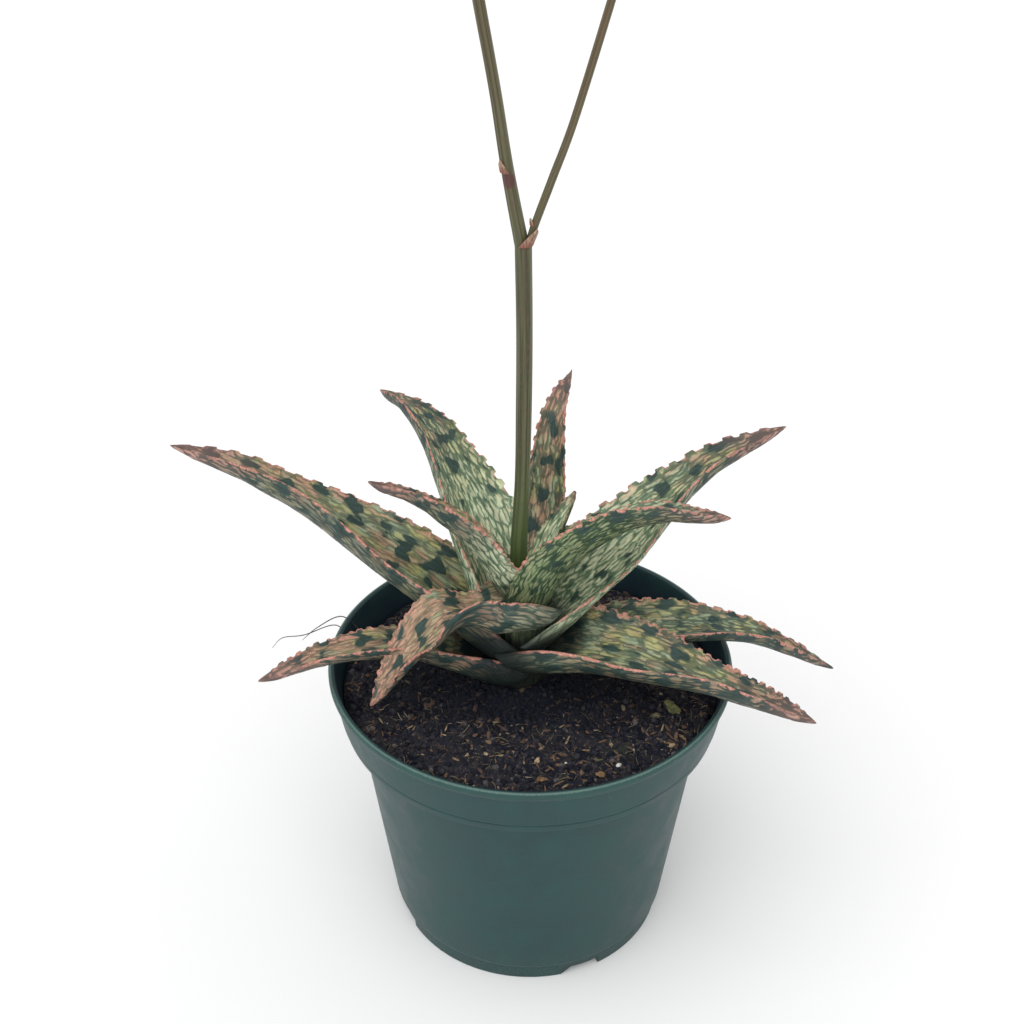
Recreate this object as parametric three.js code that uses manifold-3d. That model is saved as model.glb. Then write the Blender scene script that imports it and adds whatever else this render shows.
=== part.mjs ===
// A potted snowflake aloe: a green nursery pot with its soil, a rosette of eleven channelled,
// toothed leaves round a short stem, and a forked flower stalk with two heads of tubular flowers.
// Millimetres, +Z up. The origin is the middle of the pot's underside. -Y is the front.

import * as THREE from 'three';
import { mergeVertices } from 'three/addons/utils/BufferGeometryUtils.js';
import Module from 'manifold-3d';

const wasm = await Module();
wasm.setup();

// Driving dimensions of the pot
const RIM_RADIUS = 81;
const POT_HEIGHT = 125;
const BAND_HEIGHT = 23;
const BAND_FOOT_RADIUS = 76;
const WALL_TOP_RADIUS = 70.5;
const WALL_FOOT_RADIUS = 58.5;
const FOOT_RADIUS = 56.5;
const FOOT_HEIGHT = 8.5;
const WALL = 1.7;
const FLOOR = 2.2;
const CHANNEL_DEPTH = 2.5;
const NOTCH_COUNT = 4;
const NOTCH_AZIMUTH = -68;
const NOTCH_WIDTH = 16.8;
const NOTCH_HEIGHT = 4;
const DRAIN_RADIUS = 4.5;
const DRAIN_RING = 46;

// Soil, stem and gaps
const SOIL_TOP = 113;
const STEM_X = -4;
const STEM_FOOT = 96;
const STEM_TOP = 154;
const STEM_NECK_RADIUS = 9;
const GAP = 0.3;
const LEAF_GAP = 0.45;

// Leaves
const SECTION_STEP = 3.6;
const TOOTH_HEIGHT = 1.7;
const CLASP = 0.2;
const CLASP_START = 0.35;
const SHEATH = 0.22;
const TAPER = 0.8;
const EDGE_THICKNESS = 0.6;
const TIP_THICKNESS = 1.2;

// Each leaf has its azimuth, its course outwards from the stem as [reach, height, side]
// stations, its full width across the blade, the half angle that the channel is folded to,
// its roll about its own line, positive lifting the left margin, and its thickness. taper is
// how fast it narrows, where not TAPER, and sheath the extra share of width at its foot.
const LEAVES = {
  leaf_left_long: {
    azimuth: 168, course: [[10, 133], [58, 168], [105, 195], [140, 206]],
    width: 44, fold: [92, 60, 55, 50], roll: [0, 2, 24, 12], thickness: 4, sheath: 0.1,
  },
  leaf_back_left: {
    azimuth: 126, course: [[10, 139], [36, 177], [67, 203], [100, 203]],
    width: 41, fold: [105, 52, 40, 40], roll: [0, 12, 30, 20], thickness: 4, sheath: 0.2,
  },
  leaf_left_slender: {
    azimuth: 198, course: [[5, 160], [20, 187], [39, 206], [58, 218]],
    width: 23, fold: [95, 60, 50, 50], roll: [0, 6, 14, 14], thickness: 3,
  },
  leaf_back_upright: {
    azimuth: 72, course: [[8, 148], [31, 175], [43, 212], [68, 221]],
    width: 22, fold: [90, 50, 45, 40], roll: [0, 0, 0, 0], thickness: 3, taper: 0.95,
  },
  leaf_young: {
    azimuth: 40, course: [[5, 154], [13, 172], [28, 192]],
    width: 13, fold: [80, 60, 50], roll: [0, 0, 0], thickness: 2,
  },
  leaf_right_long: {
    azimuth: 21, course: [[9, 142], [43, 169], [80, 196], [113, 208]],
    width: 36, fold: [95, 50, 55, 50], roll: [15, 18, -12, -12], thickness: 3, sheath: 0.5,
  },
  leaf_right_arched: {
    azimuth: -14, course: [[6, 154], [19, 177], [46, 198], [79, 203]],
    width: 36, fold: [105, 60, 50, 50], roll: [0, -20, -25, -20], thickness: 3.5,
  },
  leaf_front_hooked: {
    azimuth: 213, course: [[8, 154, 10], [20, 156, 8], [34, 160.3, 3.2], [47, 149.5, -1], [69, 131, 1.5]],
    width: 35.4, fold: [90, 62, 36, 62, 60], roll: [0, 20, 6, 6, -8], thickness: 3.5, taper: 0.95, sheath: 0.2,
  },
  leaf_left_low: {
    azimuth: 197, course: [[12, 121], [48, 140], [80, 142], [105, 136]],
    width: 27, fold: [100, 50, 45, 50], roll: [0, 10, 12, 12], thickness: 3, sheath: 0.6,
  },
  leaf_front_low: {
    azimuth: -24, course: [[12, 132, -2], [40, 138.5, -2], [82, 136, 0], [121, 131, 0]],
    width: 39, fold: [95, 55, 50, 50], roll: [4, -2, -22, -16], thickness: 4, sheath: 0.3,
  },
  leaf_right_low: {
    azimuth: 3, course: [[12, 123], [50, 136.8], [92, 132.5], [129, 113]],
    width: 29, fold: [80, 44, 45, 50], roll: [0, 3, -13, -14], thickness: 4,
  },
};

// From the heart of the rosette outwards: a leaf is cut back where a leaf before it stands.
const INNER_TO_OUTER = [
  'leaf_young', 'leaf_back_upright', 'leaf_left_slender', 'leaf_right_arched',
  'leaf_back_left', 'leaf_right_long', 'leaf_front_hooked', 'leaf_left_long',
  'leaf_front_low', 'leaf_right_low', 'leaf_left_low',
];

// Flower stalk: centre line points [x, z] in the plane of the fork, with the radius there
const STALK = [[-4.6, 154.3, 3.5], [-4.7, 178, 3.2], [-3.5, 208, 2.8], [-3.05, 240, 2.9], [-3, 270, 2.9],
  [-3.5, 301.5, 2.95]];
const MAIN_SHOOT = [[-3.6, 299, 2.5], [-8.8, 327.5, 2.15], [-12.8, 354, 1.95], [-17.7, 382, 1.95],
  [-20.4, 398, 1.8]];
const SIDE_SHOOT = [[-2.3, 298.5, 1.3], [0.3, 308, 1.35], [5.9, 324, 1.4], [13, 344.5, 1.35], [23.6, 382, 1.35],
  [26.9, 395, 1.2]];
const MAIN_HEAD = {
  axis: [[-20.45, 398.3, 1.7], [-22.2, 420, 1.5], [-23.4, 445, 1.2], [-23.8, 468, 0.8]], flowers: 16,
};
const SIDE_HEAD = { axis: [[26.95, 395.3, 1.15], [30, 410, 1.1], [32, 426, 1], [33, 442, 0.8]], flowers: 10 };
const GOLDEN_ANGLE = 137.5;

const plastic = new THREE.MeshStandardMaterial({ color: 0x3f635c, roughness: 0.45, metalness: 0 });
const earth = new THREE.MeshStandardMaterial({ color: 0x2c211c, roughness: 0.95, metalness: 0 });
const leafSkin = new THREE.MeshStandardMaterial({ color: 0x7f8f63, roughness: 0.5, metalness: 0 });
const stemSkin = new THREE.MeshStandardMaterial({ color: 0x7f8a58, roughness: 0.6, metalness: 0 });
const stalkSkin = new THREE.MeshStandardMaterial({ color: 0x6b6d4c, roughness: 0.55, metalness: 0 });
const bractSkin = new THREE.MeshStandardMaterial({ color: 0xb08a70, roughness: 0.7, metalness: 0 });
const petal = new THREE.MeshStandardMaterial({ color: 0xe0755a, roughness: 0.5, metalness: 0 });

const radians = THREE.MathUtils.degToRad;
const group = new THREE.Group();

function addPiece(name, solid, material) {
  const { vertProperties, triVerts } = solid.getMesh();
  const geometry = new THREE.BufferGeometry();
  geometry.setAttribute('position', new THREE.BufferAttribute(vertProperties, 3));
  geometry.setIndex(new THREE.BufferAttribute(triVerts, 1));
  const piece = new THREE.Mesh(geometry, material);
  piece.name = name;
  group.add(piece);
}

// A closed geometry as a solid that can be cut and joined; triangles that the weld flattens go.
function solidFrom(geometry) {
  geometry.deleteAttribute('normal');
  geometry.deleteAttribute('uv');
  const welded = mergeVertices(geometry, 1e-4);
  const index = welded.index.array;
  const kept = [];
  for (let i = 0; i < index.length; i += 3) {
    const [a, b, c] = index.slice(i, i + 3);
    if (a !== b && b !== c && c !== a) kept.push(a, b, c);
  }
  return new wasm.Manifold(new wasm.Mesh({
    numProp: 3,
    vertProperties: new Float32Array(welded.attributes.position.array),
    triVerts: new Uint32Array(kept),
  }));
}

function largestBody(solid) {
  return solid.decompose().sort((a, b) => b.volume() - a.volume())[0];
}

// A closed skin over a row of like sections. The outline is one section drawn flat, counter-
// clockwise, and closes both ends; a tip point closes the far end instead.
function loft(sections, outline, tip) {
  const count = outline.length;
  const points = sections.flat();
  const faces = [];
  for (let i = 0; i + 1 < sections.length; i += 1) {
    for (let j = 0; j < count; j += 1) {
      const a = i * count + j;
      const b = i * count + ((j + 1) % count);
      faces.push(a, b, b + count, a, b + count, a + count);
    }
  }
  const end = (sections.length - 1) * count;
  const caps = THREE.ShapeUtils.triangulateShape(outline, []);
  for (const [a, b, c] of caps) faces.push(c, b, a);
  if (tip) {
    points.push(tip);
    for (let j = 0; j < count; j += 1) faces.push(end + j, end + ((j + 1) % count), end + count);
  } else {
    for (const [a, b, c] of caps) faces.push(end + a, end + b, end + c);
  }
  const geometry = new THREE.BufferGeometry();
  geometry.setAttribute('position', new THREE.Float32BufferAttribute(points.flatMap((p) => p.toArray()), 3));
  geometry.setIndex(faces);
  return solidFrom(geometry);
}

// A turned solid about the vertical through (x, 0); the profile is [radius, height] and runs
// anticlockwise, so that its faces point out.
function turned(profile, segments, x = 0) {
  const geometry = new THREE.LatheGeometry(profile.map(([r, z]) => new THREE.Vector2(r, z)), segments);
  geometry.rotateX(Math.PI / 2);
  geometry.translate(x, 0, 0);
  return solidFrom(geometry);
}

// Pot: a tapered wall under a wider rim band with a rolled lip, on a foot ring
function potWallRadius(z) {
  const share = (z - FOOT_HEIGHT) / (POT_HEIGHT - BAND_HEIGHT - FOOT_HEIGHT);
  return THREE.MathUtils.lerp(WALL_FOOT_RADIUS, WALL_TOP_RADIUS, share);
}

function potBody() {
  const bandFoot = POT_HEIGHT - BAND_HEIGHT;
  const profile = [
    [0, 0], [38, 0], [40, CHANNEL_DEPTH], [51.5, CHANNEL_DEPTH], [52.5, 0],
    [FOOT_RADIUS - 0.5, 0], [FOOT_RADIUS, 0.6], [FOOT_RADIUS + 0.6, FOOT_HEIGHT - 1.2],
    [WALL_FOOT_RADIUS - 0.2, FOOT_HEIGHT - 0.6], [potWallRadius(FOOT_HEIGHT + 2), FOOT_HEIGHT + 2],
    [WALL_TOP_RADIUS, bandFoot - 0.4], [WALL_TOP_RADIUS + 0.5, bandFoot],
    [BAND_FOOT_RADIUS - 0.5, bandFoot], [BAND_FOOT_RADIUS, bandFoot + 0.5],
    [BAND_FOOT_RADIUS + 0.5, bandFoot + 3.4], [BAND_FOOT_RADIUS + 1, bandFoot + 3.9],
    [RIM_RADIUS - 1.2, POT_HEIGHT - 4], [RIM_RADIUS - 0.1, POT_HEIGHT - 2.6],
    [RIM_RADIUS, POT_HEIGHT - 1], [RIM_RADIUS - 0.7, POT_HEIGHT], [RIM_RADIUS - 1.8, POT_HEIGHT],
    [RIM_RADIUS - 2.4, POT_HEIGHT - 1], [BAND_FOOT_RADIUS - WALL, bandFoot + WALL],
    [WALL_TOP_RADIUS - WALL, bandFoot + WALL - 0.4],
    [potWallRadius(FOOT_HEIGHT + 2) - WALL, FOOT_HEIGHT + 2],
    [FOOT_RADIUS - 2.3, CHANNEL_DEPTH + FLOOR], [40, CHANNEL_DEPTH + FLOOR], [38, FLOOR], [0, FLOOR],
  ];
  return turned(profile, 48);
}

// A drainage notch through the foot ring: a slot with one ramped end
function footNotch(azimuth) {
  const half = NOTCH_WIDTH / 2;
  const shape = new THREE.Shape();
  shape.moveTo(-half, -1);
  shape.lineTo(half, -1);
  shape.lineTo(half, NOTCH_HEIGHT);
  shape.lineTo(-half + NOTCH_HEIGHT, NOTCH_HEIGHT);
  shape.lineTo(-half, 0.5);
  const slot = new THREE.ExtrudeGeometry(shape, { depth: 10, bevelEnabled: false });
  slot.rotateX(Math.PI / 2);
  slot.rotateZ(Math.PI / 2);
  slot.translate(FOOT_RADIUS - 6, 0, 0);
  slot.rotateZ(radians(azimuth));
  return solidFrom(slot);
}

function pot() {
  let body = potBody();
  for (let k = 0; k < NOTCH_COUNT; k += 1) {
    const azimuth = NOTCH_AZIMUTH + (k * 360) / NOTCH_COUNT;
    body = body.subtract(footNotch(azimuth));
    const drain = new THREE.CylinderGeometry(DRAIN_RADIUS, DRAIN_RADIUS, 20, 20);
    drain.rotateX(Math.PI / 2);
    drain.translate(DRAIN_RING, 0, 0);
    drain.rotateZ(radians(azimuth + 45));
    body = body.subtract(solidFrom(drain));
  }
  return body;
}

// Soil: fills the pot to below the rim, with a gently uneven top and a plain hole for the stem
function soilRelief(x, y) {
  return 0.9 * Math.sin(x / 13 + 0.7) * Math.cos(y / 11) + 0.5 * Math.sin(x / 6 - y / 7 + 2);
}

function soil() {
  const bandFoot = POT_HEIGHT - BAND_HEIGHT;
  const inner = WALL + GAP;
  const bottom = FLOOR + GAP;
  const edge = 75.5;
  const profile = [
    [0, bottom], [38 - GAP, bottom], [40 - GAP, bottom + CHANNEL_DEPTH],
    [FOOT_RADIUS - 2.9, bottom + CHANNEL_DEPTH],
    [potWallRadius(FOOT_HEIGHT + 2) - inner - 0.2, FOOT_HEIGHT + 2.4],
    [WALL_TOP_RADIUS - inner - 0.1, bandFoot + WALL + 0.2], [BAND_FOOT_RADIUS - inner, bandFoot + WALL + GAP],
    [edge, SOIL_TOP - 1.6], [edge - 2, SOIL_TOP],
    [64, SOIL_TOP], [51, SOIL_TOP], [38, SOIL_TOP], [25, SOIL_TOP], [12, SOIL_TOP], [0, SOIL_TOP],
  ];
  const geometry = new THREE.LatheGeometry(profile.map(([r, z]) => new THREE.Vector2(r, z)), 48);
  geometry.rotateX(Math.PI / 2);
  const place = geometry.attributes.position;
  for (let i = 0; i < place.count; i += 1) {
    if (place.getZ(i) > SOIL_TOP - 0.1) place.setZ(i, SOIL_TOP + soilRelief(place.getX(i), place.getY(i)));
  }
  const hole = turned([[0, STEM_FOOT - GAP], [STEM_NECK_RADIUS + GAP, STEM_FOOT - GAP],
    [STEM_NECK_RADIUS + GAP, SOIL_TOP + 5], [0, SOIL_TOP + 5]], 24, STEM_X);
  return solidFrom(geometry).subtract(hole);
}

// Stem: a short thick column that the leaf bases clasp
function stem(grow = 0) {
  const profile = [
    [0, STEM_FOOT], [6.5, STEM_FOOT], [8.2, STEM_FOOT + 4], [STEM_NECK_RADIUS, 115.5], [11.6, 119.5],
    [12, 124], [11.4, 133], [10.2, 142], [8.4, 149], [6, STEM_TOP], [0, STEM_TOP],
  ];
  return turned(profile.map(([r, z], i) => [r > 0 ? r + grow : 0, z + (i > 8 ? grow : 0)]), 24, STEM_X);
}

// A smooth value through evenly spaced stations
function along(values, s) {
  const last = values.length - 1;
  const place = Math.min(Math.max(s, 0), 1) * last;
  const i = Math.min(Math.floor(place), last - 1);
  const t = place - i;
  const b = values[i];
  const c = values[i + 1];
  const a = i > 0 ? values[i - 1] : 2 * b - c;
  const d = i + 2 <= last ? values[i + 2] : 2 * c - b;
  return 0.5 * (2 * b + (c - a) * t + (2 * a - 5 * b + 4 * c - d) * t * t + (3 * b - 3 * c + d - a) * t ** 3);
}

function smooth(x) {
  const t = THREE.MathUtils.clamp(x, 0, 1);
  return t * t * (3 - 2 * t);
}

// The leaf's centre line, as a curve that can be walked by length
class LeafCourse extends THREE.Curve {
  constructor(leaf) {
    super();
    this.leaf = leaf;
    this.arcLengthDivisions = 200;
  }

  getPoint(t, target = new THREE.Vector3()) {
    const azimuth = radians(this.leaf.azimuth);
    const [reach, height, side] = [0, 1, 2].map((k) => along(this.leaf.course.map((p) => p[k] ?? 0), t));
    return target.set(
      STEM_X + Math.cos(azimuth) * reach - Math.sin(azimuth) * side,
      Math.sin(azimuth) * reach + Math.cos(azimuth) * side,
      height,
    );
  }
}

// Across the blade from margin to margin and back underneath: where each point of a section
// lies, -1 and 1 being the margins, and whether it is on the underside
const ACROSS = [[-1, false], [-0.7, true], [0, true], [0.7, true],
  [1, false], [0.5, false], [0, false], [-0.5, false]];

// One section drawn flat, x across and y up: an arched channel with a thicker middle
function leafSection(leaf, s, toothLeft, toothRight) {
  const fold = radians(along(leaf.fold, s));
  const flare = 1 + (leaf.sheath ?? 0) * (1 - smooth(s / SHEATH));
  const halfWidth = (leaf.width / 2) * (1 - s) ** (leaf.taper ?? TAPER) * (1 + 0.85 * s) * flare;
  const body = leaf.thickness * (1 - s) ** 0.6 + TIP_THICKNESS;
  return ACROSS.map(([v, under]) => {
    const half = halfWidth + (v === 1 ? toothLeft : 0) + (v === -1 ? toothRight : 0);
    const angle = fold * v;
    const thickness = under ? body * (1 - Math.abs(v) ** 2.4) ** 0.8 + EDGE_THICKNESS * (1 - s) : 0;
    return new THREE.Vector2(
      (half * Math.sin(angle)) / fold + thickness * Math.sin(angle),
      (half * (1 - Math.cos(angle))) / fold - thickness * Math.cos(angle),
    );
  });
}

// The same outline moved outwards all round, with its sharpest corners blunted
function fattened(outline, grow) {
  const count = outline.length;
  const edges = outline.map((p, i) => {
    const edge = outline[(i + 1) % count].clone().sub(p).normalize();
    return new THREE.Vector2(edge.y, -edge.x);
  });
  return outline.map((p, i) => {
    const corner = edges[i].clone().add(edges[(i + count - 1) % count]);
    const reach = (2 * grow) / Math.max(corner.lengthSq(), 0.35);
    return p.clone().addScaledVector(corner, reach);
  });
}

// A leaf blade. Every other section has a tooth on one margin and the rest on the other. At
// its foot the blade turns upright and clasps the stem. grow makes it fatter all round.
function leafBlade(leaf, grow = 0) {
  const course = new LeafCourse(leaf);
  const count = Math.round(course.getLength() / SECTION_STEP);
  const azimuth = radians(leaf.azimuth);
  const inward = new THREE.Vector3(-Math.cos(azimuth), -Math.sin(azimuth), 0);
  const left = new THREE.Vector3(-Math.sin(azimuth), Math.cos(azimuth), 0);
  const sections = [];
  for (let i = 0; i < count; i += 1) {
    const s = i / count;
    const centre = course.getPointAt(s);
    if (i === 0) centre.z -= grow;
    const forward = course.getTangentAt(s);
    const across = left.clone().addScaledVector(forward, -left.dot(forward)).normalize();
    const up = new THREE.Vector3().crossVectors(forward, across);
    const roll = radians(along(leaf.roll, s));
    const rolled = across.clone().multiplyScalar(Math.cos(roll)).addScaledVector(up, Math.sin(roll));
    up.crossVectors(forward, rolled);
    up.lerpVectors(inward, up, THREE.MathUtils.lerp(CLASP_START, 1, smooth(s / CLASP))).normalize();
    rolled.addScaledVector(up, -rolled.dot(up)).normalize();
    const toothed = i > 1 && i < count - 2 ? TOOTH_HEIGHT : 0;
    const flat = fattened(leafSection(leaf, s, i % 2 ? toothed : 0, i % 2 ? 0 : toothed), grow);
    sections.push(flat.map((p) => centre.clone().addScaledVector(rolled, p.x).addScaledVector(up, p.y)));
  }
  const tip = course.getPointAt(1).addScaledVector(course.getTangentAt(1), grow);
  return loft(sections, leafSection(leaf, 0, 0, 0), tip);
}

function rosette() {
  const standing = [stem(GAP), flowerStalk(GAP)];
  for (const name of INNER_TO_OUTER) {
    const leaf = LEAVES[name];
    const blade = standing.reduce((solid, other) => solid.subtract(other), leafBlade(leaf));
    addPiece(name, largestBody(blade), leafSkin);
    standing.push(leafBlade(leaf, LEAF_GAP));
  }
}

// A round stem through [x, z, radius] stations in the plane of the fork
function shoot(stations, sides, steps, grow = 0) {
  const line = new THREE.CatmullRomCurve3(stations.map(([x, z]) => new THREE.Vector3(x, 0, z)));
  const radii = stations.map((p) => p[2]);
  const outline = [];
  for (let k = 0; k < sides; k += 1) {
    const turn = (k / sides) * Math.PI * 2;
    outline.push(new THREE.Vector2(Math.cos(turn), Math.sin(turn)));
  }
  const sections = [];
  for (let i = 0; i <= steps; i += 1) {
    const t = i / steps;
    const centre = line.getPoint(t);
    const forward = line.getTangent(t);
    const back = new THREE.Vector3(0, 1, 0);
    const right = new THREE.Vector3().crossVectors(back, forward);
    const radius = along(radii, t) + grow;
    sections.push(outline.map((p) => centre.clone()
      .addScaledVector(right, p.x * radius).addScaledVector(back, p.y * radius)));
  }
  return { solid: loft(sections, outline), line };
}

function flowerStalk(grow = 0) {
  return shoot(STALK, 12, 8, grow).solid
    .add(shoot(MAIN_SHOOT, 10, 8, grow).solid)
    .add(shoot(SIDE_SHOOT, 10, 10, grow).solid);
}

// A papery scale that hugs a shoot: foot centre, azimuth it faces, lean of its line, height,
// the radius that it wraps and how far it wraps it to each side
function bract({ foot, azimuth, lean, height, radius, wrap }) {
  const narrowing = [1, 0.9, 0.68, 0.4];
  const thickness = 0.75;
  const reach = [-1, -0.33, 0.33, 1];
  const draw = (share) => {
    const half = radians(wrap) * share;
    const outer = reach.map((v) => [radius + thickness, v * half]);
    const inner = reach.map((v) => [radius, -v * half]);
    return [...outer, ...inner]
      .map(([r, angle]) => new THREE.Vector2(r * Math.cos(angle), r * Math.sin(angle)));
  };
  const turn = new THREE.Matrix4().makeTranslation(...foot)
    .multiply(new THREE.Matrix4().makeShear(0, 0, 0, 0, Math.tan(radians(lean)), 0))
    .multiply(new THREE.Matrix4().makeRotationZ(radians(azimuth)));
  const sections = narrowing.map((share, i) => draw(share)
    .map((p) => new THREE.Vector3(p.x, p.y, (i / narrowing.length) * height).applyMatrix4(turn)));
  const tip = new THREE.Vector3(radius + thickness, 0, height).applyMatrix4(turn);
  return loft(sections, draw(1), tip);
}

const BRACTS = {
  bract_at_fork: { foot: [-3.4, 0, 301.2], azimuth: -50, lean: 20, height: 6.6, radius: 3.1, wrap: 70 },
  bract_on_side_shoot: { foot: [0.4, 0, 308.4], azimuth: 215, lean: 0, height: 2.8, radius: 1.5, wrap: 40 },
  bract_on_main_shoot: { foot: [-8.7, 0, 326.9], azimuth: 228, lean: -9.5, height: 4.6, radius: 2.4, wrap: 50 },
};

// One flower on its bent stalk: a swollen tube, pendent when open, a short upright bud above
function flower(root, azimuth, age) {
  const out = new THREE.Vector3(Math.cos(azimuth), Math.sin(azimuth), 0);
  const dip = radians(THREE.MathUtils.lerp(72, -48, smooth(age)));
  const length = THREE.MathUtils.lerp(6, 21, smooth(age * 1.3));
  const girth = THREE.MathUtils.lerp(1.1, 2.5, smooth(age * 1.5));
  const bend = root.clone().addScaledVector(out, 3 + 6 * age);
  bend.z += 3;
  const end = bend.clone().addScaledVector(out, Math.cos(dip) * length);
  end.z += Math.sin(dip) * length;
  const line = new THREE.QuadraticBezierCurve3(root, bend, end);
  const radii = [0.7, 0.7, 1, 0.82, 0.95, 0.6].map((share, i) => (i < 2 ? share : share * girth));
  const places = [0, 0.28, 0.5, 0.7, 0.92, 1];
  const outline = [0, 0.4, 0.8, 1.2, 1.6]
    .map((turn) => new THREE.Vector2(Math.cos(turn * Math.PI), Math.sin(turn * Math.PI)));
  const side = new THREE.Vector3(-out.y, out.x, 0);
  const sections = places.map((t, i) => {
    const forward = line.getTangent(t);
    const across = new THREE.Vector3().crossVectors(side, forward).normalize();
    return outline.map((p) => line.getPoint(t)
      .addScaledVector(across, p.x * radii[i]).addScaledVector(side, p.y * radii[i]));
  });
  return loft(sections, outline);
}

// A head of flowers, the open ones lowest, set round its axis by the golden angle
function flowerHead({ axis, flowers }) {
  const { solid, line } = shoot(axis, 8, 12);
  const blooms = [];
  for (let k = 0; k < flowers; k += 1) {
    const t = 0.06 + 0.9 * (k / (flowers - 1));
    blooms.push(flower(line.getPoint(t), radians(k * GOLDEN_ANGLE), 1 - k / (flowers - 1)));
  }
  return blooms.reduce((head, bloom) => head.add(bloom), solid);
}

addPiece('pot', pot(), plastic);
addPiece('soil', soil(), earth);
addPiece('stem', stem(), stemSkin);
rosette();
addPiece('flower_stalk', flowerStalk(), stalkSkin);
const fatStalk = flowerStalk(GAP);
for (const [name, scale] of Object.entries(BRACTS)) {
  addPiece(name, largestBody(bract(scale).subtract(fatStalk)), bractSkin);
}
addPiece('flower_head_main', flowerHead(MAIN_HEAD), petal);
addPiece('flower_head_side', flowerHead(SIDE_HEAD), petal);

export default group;
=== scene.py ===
"""Looks of the potted snowflake aloe: a green nursery pot of dark soil, eleven toothed and
flecked leaves, and a forked flower stalk. Sizes are in millimetres until a mesh is made."""

import math

import bmesh
import bpy
import numpy as np
from mathutils import Matrix


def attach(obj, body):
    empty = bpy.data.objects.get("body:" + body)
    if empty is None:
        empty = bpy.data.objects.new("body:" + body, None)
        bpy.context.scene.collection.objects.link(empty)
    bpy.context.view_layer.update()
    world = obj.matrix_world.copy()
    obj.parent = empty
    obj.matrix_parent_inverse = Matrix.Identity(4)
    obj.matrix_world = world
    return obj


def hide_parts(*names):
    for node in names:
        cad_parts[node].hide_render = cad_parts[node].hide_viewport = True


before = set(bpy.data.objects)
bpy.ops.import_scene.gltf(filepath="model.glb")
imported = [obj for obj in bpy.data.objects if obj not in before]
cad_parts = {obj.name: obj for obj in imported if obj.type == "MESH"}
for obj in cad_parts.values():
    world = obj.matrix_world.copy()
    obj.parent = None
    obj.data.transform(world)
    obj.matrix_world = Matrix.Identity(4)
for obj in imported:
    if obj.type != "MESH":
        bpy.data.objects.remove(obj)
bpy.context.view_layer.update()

MM = 0.001
UP = np.array([0.0, 0.0, 1.0])
BACK = np.array([0.0, 1.0, 0.0])
ODD = np.array([0.31, 0.87, 0.39])
LATTICE = 128

# Camera, light and floor; a sun has its name, strength and how far it leans forward and sideways
CAMERA_PLACE = (-7.3, -478.62, 498.42)
CAMERA_PITCH = -32.5
SENSOR = 36
FOCAL_SHARE = 1500 / 1024
SUN_SPREAD = 70
SUNS = [("overhead_softbox", 1.35, 28, -18), ("front_fill", 0.35, 62, 6)]
FLOOR_HALF = 4000
PAPER_WHITE = 250.463

# Pot, soil and stem
RIM_RADIUS = 81
POT_HEIGHT = 125
BAND_FOOT = 102
BAND_FOOT_RADIUS = 76
WALL_TOP_RADIUS = 70.5
WALL_FOOT_RADIUS = 58.5
FOOT_RADIUS = 56.5
FOOT_HEIGHT = 8.5
WALL = 1.7
POT_SEGMENTS = 176
NOTCH_AZIMUTH = -68
DRAIN_REACH = 46
DRAIN_RADIUS = 4.5
SOIL_TOP = 113
SOIL_EDGE = 75.5
SOIL_GRID = 190
STREWN_GRID = 90
STEM_X = -4

# Leaves
CLASP = 0.2
CLASP_START = 0.35
SHEATH = 0.22
TAPER = 0.8
EDGE_THICKNESS = 0.6
TIP_THICKNESS = 1.2
ROW_STEP = 0.5
UPPER_COLUMNS = 56
UNDER_COLUMNS = 30
COLUMN_SWEEP = math.radians(81)
TEETH_START = 9
TEETH_END = 4
PAD_HEIGHT = 0.36
BAR_SPACING = 14
LEAF_PATTERNS = ("leaf_pads", "leaf_place", "leaf_share", "leaf_tone")

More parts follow.
